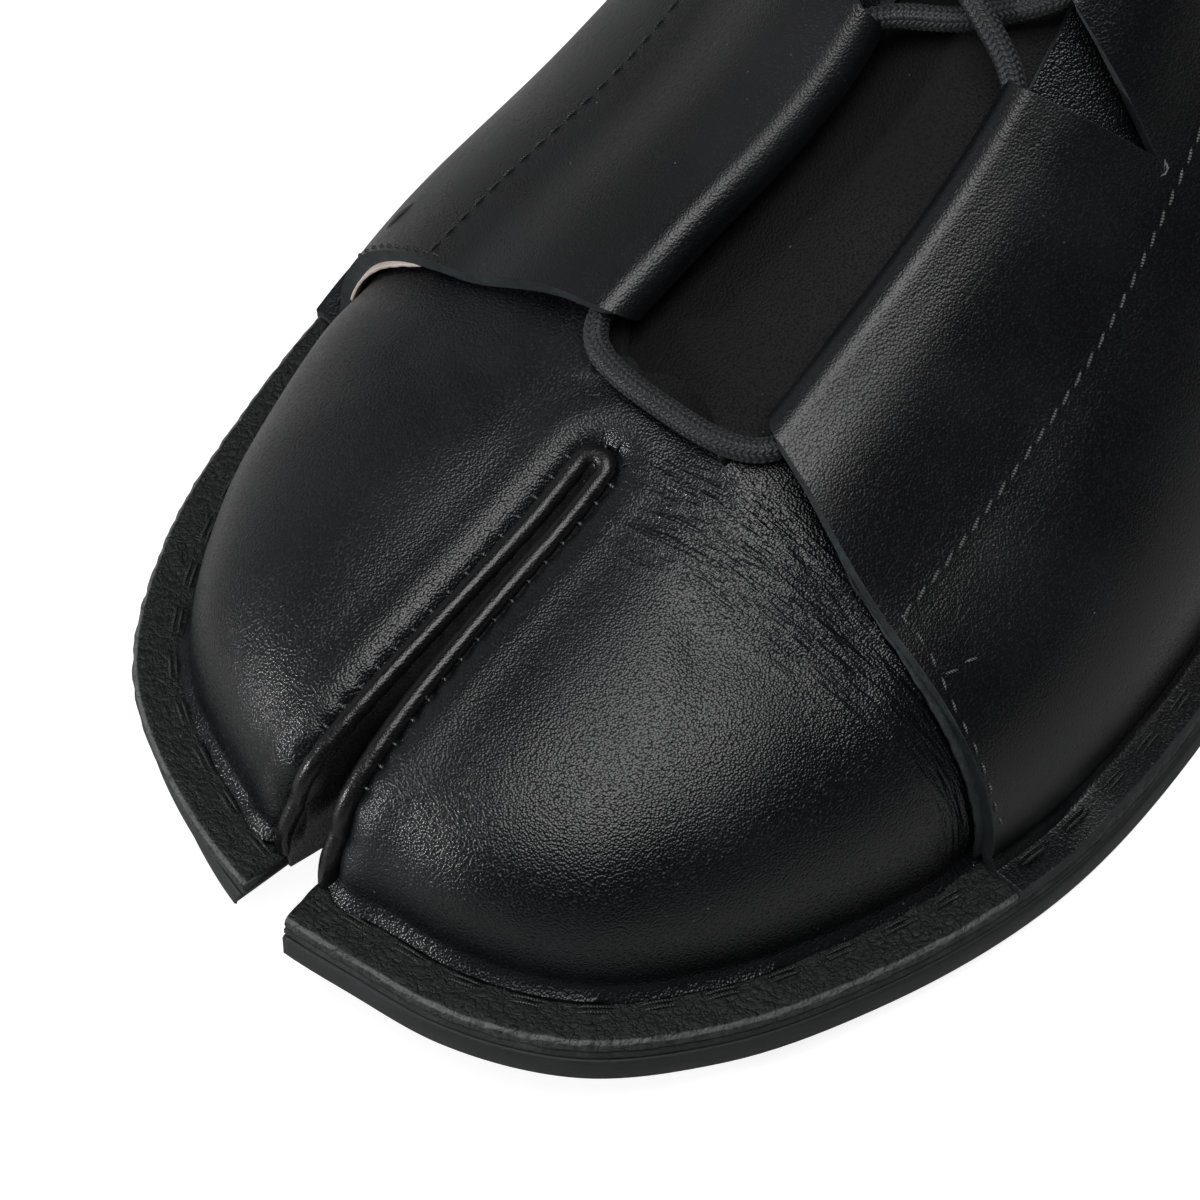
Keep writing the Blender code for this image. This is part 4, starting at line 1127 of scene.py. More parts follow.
def sole_layer(name, outline, shrink, low, high, slots, materials, slot, node):
    """A sheet of the sole: ruled from its outline to a spine that becomes the side of the toe slot."""
    halves = {side: [half_layer(outline, shrink, side, pair) for pair in slots[side]] for side in SIDES}
    rear = SOLE_STATIONS[0]
    middle = sum(outline(faces[0][0][:rear]) for faces in halves.values()) / 2
    pull = np.linspace(0.0, 1.0, rear)[:, None] ** 2
    rear_spine = blend(middle, split_plan(SLOT_END, 0.0), pull)
    share = np.linspace(0.0, 1.0, SOLE_COLUMNS)[:, None, None]
    rounded = SOLE_ROUND / (high - low)
    sheets = []
    for side, faces in halves.items():
        ruled = []
        for (places, slot_path), z in zip(faces, (low, high)):
            spine = np.concatenate((rear_spine, slot_path[1:]))
            ruled.append(raised(blend(shrink(places), spine, share), z))
        edges = [outline(places) for places, _ in faces]
        wall = np.stack((
            ruled[0][0],
            raised(edges[0], low + SOLE_ROUND),
            raised(edges[1], high - SOLE_ROUND),
            ruled[1][0],
        ))
        cuts = [grid[-1, rear - 1 :] for grid in ruled]
        notch = np.stack([blend(*cuts, level) for level in (0.0, rounded, 1.0 - rounded, 1.0)])
        notch[:, -1] = wall[:, -1]
        for grid, outwards in ((ruled[1], 1), (ruled[0], -1), (wall, 1), (notch, -1)):
            sheets.append(grid_sheet(grid[:, :: side * outwards]))
    return make_piece(name, sheets, materials, slot, (node,))


def make_soles(rubber_finish, board_finish, leather_finish):
    """The three sheets of the sole from the floor up, each drawn in at its faces to round its edges."""
    layers = (
        # outline and inset, bottom, top, finish, slot, node
        (undercut_edge, 0.0, 0.0, OUTSOLE, rubber_finish, "sole_rubber", "outsole"),
        (undercut_edge, MIDSOLE_INSET, OUTSOLE, BOARD_BASE, board_finish, "midsole_board", "midsole"),
        (feather_edge, INSOLE_INSET, BOARD_BASE, INSOLE_TOP, leather_finish, "insole_leather", "insole"),
    )
    for edge, inset, low, high, finish, slot, node in layers:
        outlines = (edge(inset), edge(inset + SOLE_ROUND))
        sole_layer(node + "_sheet", *outlines, low, high, LAYER_SLOTS[node], [finish], slot, node)


HEEL_STATIONS = 90
HEEL_CHAMFER = 0.5
HEEL_TOP_CHAMFER = 0.4
HEEL_SEARCH = np.linspace(0.0, 0.6, 1201)
HEEL_LEVELS = (
    # height, and how far in from the sole edge
    (0.0, HEEL_INSET + HEEL_TAPER + HEEL_CHAMFER),
    (HEEL_CHAMFER, HEEL_INSET + HEEL_TAPER),
    (HEEL_HEIGHT - HEEL_TOP_CHAMFER, HEEL_INSET),
    (HEEL_HEIGHT, HEEL_INSET + HEEL_TOP_CHAMFER),
)


def make_heel(material):
    """The heel lift: the sole's rear outline, cut straight at the breast, a little smaller at the floor."""
    paths = []
    for side in SIDES:
        rows = []
        for z, inset in HEEL_LEVELS:
            outline, _ = sole_edge(side * HEEL_SEARCH, inset)
            last = np.interp(HEEL_BREAST_X, outline[:, 0], HEEL_SEARCH)
            plan, _ = sole_edge(side * np.linspace(0.0, last, HEEL_STATIONS), inset)
            rows.append(np.column_stack((plan, np.full(HEEL_STATIONS, z))))
        paths.append(np.stack(rows))
    share = np.linspace(0.0, 1.0, SOLE_COLUMNS)[:, None, None]
    outer, inner = paths
    breast = np.stack([blend(outer[:, -1], inner[:, -1], across) for across in share[:, 0]], 1)
    sheets = [
        grid_sheet(outer),
        grid_sheet(inner[:, ::-1]),
        grid_sheet(breast),
        grid_sheet(blend(outer[-1], inner[-1], share)),
        grid_sheet(blend(outer[0], inner[0], share)[:, ::-1]),
    ]
    return make_piece("heel_lift", sheets, [material], "heel_rubber", ("heel",))


# Stitching

WELT_OUT = 2.2
TUNNEL_ROWS = {1: 24.2, -1: 31.0}
ROW_START = 0.02
ROW_END = {1: 0.741, -1: 0.728}
ROW_SAMPLES = 300
BACK_ROW_PLACE = 0.008
BACK_ROW_WAYS = np.linspace(4.0, 108.0, 60)
FRONT_ROW = (
    # way down from the rim, and place round the outer side, of the row behind the front edge
    (23.2, 0.7405),
    (28.0, 0.7385),
    (34.7, 0.7405),
    (39.7, 0.7400),
    (43.8, 0.7398),
    (48.8, 0.7390),
    (51.5, 0.7366),
)
FRONT_BAR = ((31.8, 0.7390), (33.4, 0.7221))
INNER_ROW = ((28.5, 0.7290), (31.9, 0.7265), (38.0, 0.7225), (44.0, 0.7185), (50.0, 0.7165))
INNER_BAR = ((46.6, 0.7080), (45.0, 0.6965))
# The first thread is a paler copy of the black thread, its tones painted highlights for the lit outer side;
# the second is the dark thread.
HIGHLIT_THREAD, DARK_THREAD = 0, 1
# length, gap, radius, slant and thread of each kind of stitch, by side where the sides differ
ROW_STITCH = {1: (1.95, 0.5, 0.21, -0.4, HIGHLIT_THREAD), -1: (2.0, 0.35, 0.2, 0.12, DARK_THREAD)}
EDGE_STITCH = {1: (1.5, 1.1, 0.17, 0.2, HIGHLIT_THREAD), -1: (1.4, 0.6, 0.2, 0.1, DARK_THREAD)}
BAR_STITCH = {1: (1.6, 0.3, 0.18, 0.3, HIGHLIT_THREAD), -1: (4.6, 0.0, 0.22, 0.0, DARK_THREAD)}
BACK_STITCH = (1.75, 0.7, 0.24, 0.0, DARK_THREAD)
RUN_SAMPLES = 900
WELT_STITCH = (3.9, 2.9, 0.24)
WELT_SINK = 0.8
WELT_LIFT = 0.1
WELT_PLIES = (-0.34, 0.34)
WELT_SAMPLES = 1200
WELT_ROW = 3
WELT_FROM_SLOT = {1: 0.014, -1: 0.012}
WELT_AHEAD = 0.008
WELT_BEHIND = 0.002
TIP_STITCH = (0.9, 0.17)
TIP_FROM_FLANGE = 14.0
TIP_START = 0.9 * BEAD_RADIUS
TIP_LIFT = (0.3, 0.05)
TIP_POINTS = 5
END_TICKS = (-62.0, -24.0, 16.0, 54.0)
END_TICK = (1.9, 0.2)
END_TICK_START = 0.8 * BEAD_RADIUS
END_TICK_POINTS = 7
END_TICK_SINK = 0.6


def surface_run(places, way, height):
    """A line on the leather with its upward direction, from places and ways, sampled evenly."""
    table = np.column_stack(np.broadcast_arrays(np.asarray(places, float), way, height))
    knots = np.arange(len(table), dtype=float)
    place, way, height = through(knots, table, np.linspace(0.0, knots[-1], RUN_SAMPLES)).T
    t = t_from_rim(place, way)
    normal = skin_normal(place, t)
    return skin(place, t) + normal * height[:, None], normal


def split_stitches():
    """Threads across the split's seam at each pucker, and longer ones spread round its rear end."""
    path, normal = bead_path()
    arc = arc_length(path)
    tangent = unit(np.gradient(path, axis=0))
    aside = unit(np.cross(tangent, normal))
    length, radius = TIP_STITCH
    reach = np.linspace(TIP_START, TIP_START + length, TIP_POINTS)[:, None]
    lift = np.linspace(*TIP_LIFT, TIP_POINTS)[:, None]
    tips = []
    for at in np.arange(TIP_FROM_FLANGE, arc[-1] - TIP_FROM_FLANGE, SEAM_PITCH):
        k = np.searchsorted(arc, at)
        line = path[k] + aside[k] * reach + normal[k] * lift
        tips.append(stitch_run(line, np.repeat(normal[k : k + 1], TIP_POINTS, axis=0), length, 0.0, radius))
    length, radius = END_TICK
    order = np.argsort(SPLIT_FORWARD)
    start = gusset_offset(0.0) + END_TICK_START
    for turn in np.radians(END_TICKS):
        reach = np.linspace(start, start + length, END_TICK_POINTS)
        forward, sideways = -reach * math.cos(turn), reach * math.sin(turn)
        height = np.interp(forward, SPLIT_FORWARD[order], SPLIT_HEIGHT[order])
        plan = split_plan(forward, sideways)
        line = np.column_stack((plan, height + vamp_relief(plan) + split_dip_lift(plan, forward)))
        up = np.zeros_like(line) + UPWARD
        tips.append(stitch_run(line, up, length, 0.0, radius, sink=END_TICK_SINK, material=DARK_THREAD))
    return tips


def split_dip_lift(plan, forward):
    """How far the skin beside the split's axis stands above the axis at the same distance forward."""
    return split_dip(split_plan(forward, 0.0)) - split_dip(plan)


def sew(line, kind):
    """Stitches along a line with its upward direction, of a kind in the tables above."""
    length, gap, radius, slant, thread = kind
    return stitch_run(*line, length, gap, radius, slant=slant, material=thread)


def make_seams(threads):
    """Thread on the upper: tunnel seams, front edges and bars, the back seam, and across the split's seam."""
    sewn = []
    for side in SIDES:
        places = side * np.linspace(ROW_START, ROW_END[side], ROW_SAMPLES)
        way = TUNNEL_ROWS[side]
        sewn.append(sew(surface_run(places, way, LEATHER + tunnel_swell(places, way)), ROW_STITCH[side]))
    edges = (
        (FRONT_ROW, 1, EDGE_STITCH),
        (FRONT_BAR, 1, BAR_STITCH),
        (INNER_ROW, -1, EDGE_STITCH),
        (INNER_BAR, -1, BAR_STITCH),
    )
    for row, side, kinds in edges:
        way, place = np.array(row).T
        sewn.append(sew(surface_run(side * place, way, LEATHER), kinds[side]))
    for side in SIDES:
        sewn.append(sew(surface_run(side * BACK_ROW_PLACE, BACK_ROW_WAYS, LEATHER), BACK_STITCH))
    sewn += split_stitches()
    make_piece("seam_stitches", sewn, threads, "cord")


def make_welt(threads):
    """Two plies of thread round the foot: low on the vamp's flange, a leather higher on the quarters'."""
    length, gap, radius = WELT_STITCH
    outer, inner = [side * vamp_line_places(side)[WELT_ROW] for side in SIDES]
    spans = (
        # first place, last place, height over the vamp's flange
        (WELT_FROM_SLOT[-1] - 1.0, inner - WELT_AHEAD, 0.0),
        (inner + WELT_BEHIND, outer - WELT_BEHIND, LEATHER),
        (outer + WELT_AHEAD, 1.0 - WELT_FROM_SLOT[1], 0.0),
    )
    welt = []
    for first, last, lift in spans:
        edge, outward = sole_edge(np.linspace(first, last, WELT_SAMPLES))
        out = WELT_OUT + lift - flange_width(edge)
        plan = edge + outward * out[:, None]
        path = np.column_stack((plan, sole_rise(plan[:, 0]) + FLANGE_TOP + lift + WELT_LIFT))
        normal = np.zeros_like(path) + UPWARD
        for shift in WELT_PLIES:
            welt.append(stitch_run(path, normal, length, gap, radius, shift, WELT_SINK, material=DARK_THREAD))
    make_piece("welt_stitches", welt, threads, "cord")


# Strips that show under the front edges of the quarters

STRIP_ROWS = 60
STRIP_COLUMNS = 6
STRIP_SEARCH = np.linspace(0.66, 0.82, 161)
STRIP_RAGGED = 0.04
STRIP_WAVES = (5, 1.5, 6.0, 8)
STRIP_UNDER = -3.0
STRIP_HEIGHT = 0.1
STRIPS = (
    # name, side, thickness, slot, then ways down from the rim with how far the strip shows at each
    ("lining_strip", -1, 0.42, "insole_leather",
     (33.0, 35.0, 38.0, 42.0, 48.0, 56.0), (0.1, 0.55, 0.6, 0.5, 0.4, 0.5)),
    ("edge_strip", 1, 0.5, "quarter_leather",
     (12.0, 18.0, 25.0, 34.0, 46.0, 57.0), (-1.8, -0.1, 0.4, 0.75, 0.85, 0.7)),
)


def make_strip(name, side, thickness, slot, ways, shows, material):
    """A narrow strip on the vamp, from under a quarter to a little ahead of its front edge."""
    way = np.linspace(ways[0], ways[-1], STRIP_ROWS)
    ahead = ahead_of_vamp_line(off_skin(side * STRIP_SEARCH[None, :], way[:, None], STRIP_HEIGHT))
    reach = np.interp(way, ways, shows) + STRIP_RAGGED * waves(way, 0.0, *STRIP_WAVES)
    columns = []
    for share in np.linspace(0.0, 1.0, STRIP_COLUMNS):
        target = blend(STRIP_UNDER, reach, share)
        place = crossing(target[:, None] - ahead, STRIP_SEARCH)
        columns.append(off_skin(side * place, way, STRIP_HEIGHT))
    piece = make_piece(name, [grid_sheet(np.stack(columns, 1)[:, ::-side])], [material], slot)
    thicken(piece, thickness, 0, 0)


# Finishes: scales are cells or waves a metre, bump depths are millimetres

GRAIN_CELLS = 3500.0
LEATHERS = {
    # colour, roughness, depth of the grain, fine creases, specular level, flex wrinkles
    "vamp": ((0.004, 0.0044, 0.0055), 0.23, 0.072, 0.0, 0.5, True),
    "quarter": ((0.004, 0.0043, 0.0052), 0.28, 0.04, 0.0, 0.5, False),
    "gusset": ((0.0035, 0.0036, 0.004), 0.24, 0.03, 0.02, 0.5, False),
    "tongue": ((0.003, 0.003, 0.0035), 0.55, 0.05, 0.0, 0.15, False),
}
WORN = 1.6
GLOSS_SPREAD = (-0.05, 0.06)
WARP = 0.07
WARP_SHARE = 0.5
VALLEY = (0.45, 0.75)
VALLEY_ROUGH = 0.12
FOLD_SHARE = 0.3
FOLD_WIDTH = 0.07
PATCHES = 45.0
SPECKS = 420.0
SPECK_CORE = (0.035, 0.06)
SPECK_PATCHES = 90.0
LEATHER_DUST, LEATHER_DUST_COLOUR = 0.4, (0.32, 0.31, 0.29)
FLANGE_DUST, FLANGE_DUST_COLOUR = 0.8, (0.3, 0.3, 0.29)
FLANGE_CELLS = 1500.0
FLANGE_CREASES = 0.8
FLANGE_GRAIN = 0.16
FLANGE_FOLDS = 0.5
FLANGE_STRETCH = (0.9, 2.0, 1.0)
FLANGE_BLACK, FLANGE_RAW, FLANGE_EDGE_PALE = (0.0045, 0.005, 0.0055), (0.04, 0.044, 0.043), (0.11, 0.115, 0.11)
# INSIDE_SHADE is near black, darker than the cut edge: painted shade on the insides of the quarters and of
# the vamp's throat.
CUT_EDGE, INSIDE_SHADE, BOARD = (0.017, 0.023, 0.025), (0.005, 0.0055, 0.006), (0.02, 0.021, 0.021)
FIBRES, FIBRE_PATCHES = 1900.0, 320.0
FIBRE_SHARE = 0.6
FIBRE_BRIGHT = 2.8
FIBRE_DEPTH = 0.25
LININGS = {
    # darker and paler tone
    "lining_finish": ((0.36, 0.27, 0.22), (0.5, 0.4, 0.33)),
    "insole_finish": ((0.38, 0.27, 0.2), (0.48, 0.36, 0.28)),
    # The lining edge's tones are a paler copy of the lining: painted light on the strip that sits in shade
    # under the inner quarter's edge.
    "lining_edge_finish": ((0.62, 0.52, 0.46), (0.8, 0.7, 0.64)),
}
MOTTLE, NAP = 140.0, 2600.0
NAP_DEPTH = 0.12
OUTSOLE_BLACK, HEEL_BLACK = (0.015, 0.016, 0.017), (0.014, 0.015, 0.016)
STIPPLE, WEAR = 1500.0, 70.0
STIPPLE_DEPTH = 0.12
RUBBER_DUSTY = 2.0
# The gap colour is painted shade between the strands of the cord.
YARN_GAP_SHADE, YARN_DARK, YARN_PALE = (0.0012, 0.0015, 0.0016), (0.006, 0.0085, 0.0095), (0.036, 0.043, 0.047)
YARN_FUZZ = 4500.0
YARN_FUZZ_SHARE = 0.3
YARN_DEPTH = 0.12
YARN_SHEEN = 0.1
THREADS = {
    # dark and pale ply, and fibre ends; the pale ply and the fibre-end specks are painted highlights, glints
    # of the glossy thread
    "thread_finish": ((0.012, 0.013, 0.013), (0.16, 0.165, 0.165), (0.34, 0.34, 0.33)),
    "dark_thread_finish": ((0.003, 0.003, 0.003), (0.025, 0.027, 0.027), (0.12, 0.12, 0.12)),
}
THREAD_FUZZ = 4200.0
PLY_TURNS = 3.0
PLY_DEPTH = 0.04
FLEX_FROM, FLEX_TO = (0.085, 0.091), (0.096, 0.104)
FLEX_SIDE = (-0.002, 0.008)
FLEX_STRETCH = (900.0, 130.0, 130.0)
FLEX_DEPTH = 0.8


def new_group(name, inputs, outputs):
    """A shader node group with named value inputs and outputs, and its two ends."""
    group = bpy.data.node_groups.new(name, "ShaderNodeTree")
    for label, kind, value in inputs:
        socket = group.interface.new_socket(label, in_out="INPUT", socket_type=kind)
        socket.default_value = value
    for label, kind in outputs:
        group.interface.new_socket(label, in_out="OUTPUT", socket_type=kind)
    start = group.nodes.new("NodeGroupInput")
    end = group.nodes.new("NodeGroupOutput")
    return group, start, end


class Wires:
    """Short ways to add linked nodes to one tree."""

    def __init__(self, tree):
        self.tree = tree

    def put(self, socket, value):
        """Links a socket to an output, or sets its value; None leaves it as it is."""
        if isinstance(value, bpy.types.NodeSocket):
            self.tree.links.new(value, socket)
        elif value is not None:
            socket.default_value = value

    def math(self, operation, *values):
        """Result of a math node."""
        node = self.tree.nodes.new("ShaderNodeMath")
        node.operation = operation
        for socket, value in zip(node.inputs, values):
            self.put(socket, value)
        return node.outputs[0]

    def mix(self, factor, first, second):
        """Colour mixed from the first to the second by a factor."""
        node = self.tree.nodes.new("ShaderNodeMix")
        node.data_type = "RGBA"
        self.put(node.inputs[0], factor)
        for socket, value in zip(node.inputs[6:8], (first, second)):
            self.put(socket, (*value, 1.0) if isinstance(value, tuple) else value)
        return node.outputs[2]

    def ramp(self, value, low, high, from_=0.0, to=1.0):
        """Smooth step between two results as the value goes from low to high."""
        node = self.tree.nodes.new("ShaderNodeMapRange")
        node.interpolation_type = "SMOOTHSTEP"
        for socket, number in zip(node.inputs[:5], (value, low, high, from_, to)):
            self.put(socket, number)
        return node.outputs[0]

    def noise(self, vector, scale, detail=2.0, rough=0.5):
        """Soft noise from 0 to 1."""
        node = self.tree.nodes.new("ShaderNodeTexNoise")
        for label, value in (("Vector", vector), ("Scale", scale), ("Detail", detail), ("Roughness", rough)):
            self.put(node.inputs[label], value)
        return node.outputs["Fac"]

    def cells(self, vector, scale):
        """Distance from the middle of the nearest cell."""
        node = self.tree.nodes.new("ShaderNodeTexVoronoi")
        self.put(node.inputs["Vector"], vector)
        self.put(node.inputs["Scale"], scale)
        return node.outputs["Distance"]

    def place(self, source="Object"):
        """A coordinate of the piece: its own space, or its UV map."""
        node = self.tree.nodes.new("ShaderNodeTexCoord")
        return node.outputs[source]

    def parts(self, vector):
        """The X, Y and Z of a vector."""
        node = self.tree.nodes.new("ShaderNodeSeparateXYZ")
        self.put(node.inputs[0], vector)
        return node.outputs

    def stretch(self, vector, scale):
        """A vector scaled along each axis."""
        node = self.tree.nodes.new("ShaderNodeMapping")
        self.put(node.inputs["Vector"], vector)
        node.inputs["Scale"].default_value = scale
        return node.outputs[0]

    def bump(self, height, distance, strength, normal=None):
        """Normal from a height in millimetres, over another normal where one is given."""
        node = self.tree.nodes.new("ShaderNodeBump")
        self.put(node.inputs["Height"], height)
        node.inputs["Distance"].default_value = distance * MM
        node.inputs["Strength"].default_value = strength
        self.put(node.inputs["Normal"], normal)
        return node.outputs[0]

    def group(self, group, **values):
        """Outputs of a node group placed with its own values."""
        node = self.tree.nodes.new("ShaderNodeGroup")
        node.node_tree = group
        for label, value in values.items():
            self.put(node.inputs[label.replace("_", " ")], value)
        return node.outputs


def pebble_group():
    """Leather grain: rounded cells of uneven size with fine creases between them, and a slow unevenness."""
    group, start, end = new_group(
        "pebble_grain",
        (("Vector", "NodeSocketVector", (0.0, 0.0, 0.0)), ("Cells", "NodeSocketFloat", GRAIN_CELLS),
         ("Creases", "NodeSocketFloat", 0.0)),
        (("Height", "NodeSocketFloat"), ("Valley", "NodeSocketFloat"), ("Patch", "NodeSocketFloat")),
    )
    wires = Wires(group)
    vector = start.outputs["Vector"]
    scale = start.outputs["Cells"]
    warp = wires.tree.nodes.new("ShaderNodeTexNoise")
    wires.put(warp.inputs["Vector"], vector)
    wires.put(warp.inputs["Scale"], wires.math("MULTIPLY", scale, WARP_SHARE))
    moved = wires.tree.nodes.new("ShaderNodeVectorMath")
    moved.operation = "MULTIPLY_ADD"
    wires.put(moved.inputs[0], warp.outputs["Color"])
    moved.inputs[1].default_value = 3 * (WARP * MM,)
    wires.put(moved.inputs[2], vector)
    cells = wires.cells(moved.outputs[0], scale)
    dome = wires.math("SUBTRACT", 1.0, wires.math("MULTIPLY", cells, cells))
    crease = wires.noise(vector, wires.math("MULTIPLY", scale, FOLD_SHARE), 3.0, 0.6)
    folded = wires.math("ABSOLUTE", wires.math("SUBTRACT", crease, 0.5))
    folds = wires.math("MULTIPLY", wires.ramp(folded, 0.0, FOLD_WIDTH), start.outputs["Creases"])
    wires.put(end.inputs["Height"], wires.math("ADD", dome, folds))
    wires.put(end.inputs["Valley"], wires.ramp(cells, *VALLEY))
    wires.put(end.inputs["Patch"], wires.noise(vector, PATCHES, 3.0, 0.55))
    return group


def speck_group():
    """Sparse specks of pale dust: the cores of a few cells of a fine pattern."""
    group, start, end = new_group(
        "dust_specks",
        (("Vector", "NodeSocketVector", (0.0, 0.0, 0.0)), ("Amount", "NodeSocketFloat", 0.5)),
        (("Mask", "NodeSocketFloat"),),
    )
    wires = Wires(group)
    vector = start.outputs["Vector"]
    core = wires.ramp(wires.cells(vector, SPECKS), *SPECK_CORE, 1.0, 0.0)
    where = wires.ramp(wires.noise(vector, SPECK_PATCHES, 2.0), 0.5, 0.62)
    mask = wires.math("MULTIPLY", wires.math("MULTIPLY", core, where), start.outputs["Amount"])
    wires.put(end.inputs["Mask"], mask)
    return group


def new_material(name):
    """A material with its shader and its wires."""
    material = bpy.data.materials.new(name)
    material.use_nodes = True
    shader = material.node_tree.nodes["Principled BSDF"]
    return material, shader, Wires(material.node_tree)


def flex_wrinkles(wires, vector):
    """Normal of the flex wrinkles: noise drawn out across the foot, where the vamp bends behind the toes."""
    x, y, _ = wires.parts(vector)
    bends = wires.math("MULTIPLY", wires.ramp(x, *FLEX_FROM), wires.ramp(x, *FLEX_TO, 1.0, 0.0))
    where = wires.math("MULTIPLY", bends, wires.ramp(y, *FLEX_SIDE))
    folds = wires.noise(wires.stretch(vector, FLEX_STRETCH), 1.0, 2.0, 0.55)
    return wires.bump(wires.math("MULTIPLY", folds, where), FLEX_DEPTH, 1.0)


def leather(kind, groups):
    """Black grained leather: pebbles in the bump, gloss and tone that vary in slow patches, dust specks."""
    colour, roughness, depth, creases, level, flexed = LEATHERS[kind]
    pebble, specks = groups
    material, shader, wires = new_material(kind + "_leather_finish")
    vector = wires.place()
    grain = wires.group(pebble, Vector=vector, Cells=GRAIN_CELLS, Creases=creases)
    dusty = wires.group(specks, Vector=vector, Amount=LEATHER_DUST)["Mask"]
    worn = tuple(WORN * value for value in colour)
    tone = wires.mix(wires.ramp(grain["Patch"], 0.35, 0.7), colour, worn)
    wires.put(shader.inputs["Base Color"], wires.mix(dusty, tone, LEATHER_DUST_COLOUR))
    glossy, dull = (roughness + spread for spread in GLOSS_SPREAD)
    gloss = wires.ramp(grain["Patch"], 0.3, 0.7, glossy, dull)
    wires.put(shader.inputs["Roughness"], wires.math("MULTIPLY_ADD", grain["Valley"], VALLEY_ROUGH, gloss))
    wrinkles = flex_wrinkles(wires, vector) if flexed else None
    wires.put(shader.inputs["Normal"], wires.bump(grain["Height"], depth, 1.0, wrinkles))
    shader.inputs["Specular IOR Level"].default_value = level
    return material


def wrinkled(name, groups):
    """The flange's top: coarse wrinkled grain along the edge, paler and fibrous at the cut outside, and paler
    in a broken band along the rounded top of the cut edge.
    """
    pebble, specks = groups
    material, shader, wires = new_material(name)
    vector = wires.place()
    own = wires.place("UV")
    grain = wires.group(pebble, Vector=vector, Cells=FLANGE_CELLS, Creases=FLANGE_CREASES)
    inset = wires.parts(own)["Y"]
    folds = wires.noise(wires.stretch(own, FLANGE_STRETCH), 1.0, 4.0, 0.6)
    raw = wires.ramp(wires.math("ADD", inset, wires.noise(own, 1.4)), 0.75, 1.15, 1.0, 0.0)
    dusty = wires.group(specks, Vector=vector, Amount=FLANGE_DUST)["Mask"]
    tone = wires.mix(raw, FLANGE_BLACK, FLANGE_RAW)
    # Paler band along the rounded top of the cut edge, broken by noise.
    pale_edge_band = wires.math("MULTIPLY", wires.ramp(inset, 0.4, 0.5), wires.ramp(inset, 0.75, 0.98, 1.0, 0.0))
    pale_edge_band = wires.math("MULTIPLY", pale_edge_band, wires.ramp(wires.noise(own, 0.6, 3.0), 0.2, 0.5))
    tone = wires.mix(pale_edge_band, tone, FLANGE_EDGE_PALE)
    wires.put(shader.inputs["Base Color"], wires.mix(dusty, tone, FLANGE_DUST_COLOUR))
    wires.put(shader.inputs["Roughness"], wires.ramp(folds, 0.3, 0.7, 0.5, 0.72))
    coarse = wires.bump(folds, FLANGE_FOLDS, 0.8)
    wires.put(shader.inputs["Normal"], wires.bump(grain["Height"], FLANGE_GRAIN, 1.0, coarse))
    return material


def raw_edge(name, colour):
    """A cut edge: matt and fibrous, with streaks of paler fibre."""
    material, shader, wires = new_material(name)
    vector = wires.place()
    fibre = wires.noise(vector, FIBRES, 3.0, 0.7)
    slow = wires.noise(vector, FIBRE_PATCHES, 2.0)
    fine = wires.math("MULTIPLY", fibre, FIBRE_SHARE)
    streaks = wires.math("ADD", fine, wires.math("MULTIPLY", slow, 1.0 - FIBRE_SHARE))
    bright = tuple(FIBRE_BRIGHT * value for value in colour)
    wires.put(shader.inputs["Base Color"], wires.mix(wires.ramp(streaks, 0.4, 0.7), colour, bright))
    wires.put(shader.inputs["Roughness"], wires.ramp(fibre, 0.2, 0.8, 0.7, 0.9))
    wires.put(shader.inputs["Normal"], wires.bump(fibre, FIBRE_DEPTH, 0.8))
    return material


def suede(name):
    """A pale napped lining or insole leather with mottled tone."""
    material, shader, wires = new_material(name)
    vector = wires.place()
    mottle = wires.noise(vector, MOTTLE, 4.0, 0.65)
    nap = wires.noise(vector, NAP, 2.0, 0.6)
    wires.put(shader.inputs["Base Color"], wires.mix(wires.ramp(mottle, 0.3, 0.7), *LININGS[name]))
    wires.put(shader.inputs["Roughness"], wires.ramp(nap, 0.2, 0.8, 0.75, 0.92))
    wires.put(shader.inputs["Normal"], wires.bump(nap, NAP_DEPTH, 0.8))
    return material


def rubber(name, colour):
    """Matt black rubber with a moulded stipple, and a trace of dust."""
    material, shader, wires = new_material(name)
    vector = wires.place()
    stipple = wires.noise(vector, STIPPLE, 3.0, 0.6)
    worn = wires.noise(vector, WEAR, 4.0, 0.6)
    dusty = tuple(RUBBER_DUSTY * value for value in colour)
    wires.put(shader.inputs["Base Color"], wires.mix(wires.ramp(worn, 0.45, 0.75), colour, dusty))
    wires.put(shader.inputs["Roughness"], wires.ramp(worn, 0.3, 0.7, 0.5, 0.68))
    wires.put(shader.inputs["Normal"], wires.bump(stipple, STIPPLE_DEPTH, 0.7))
    return material


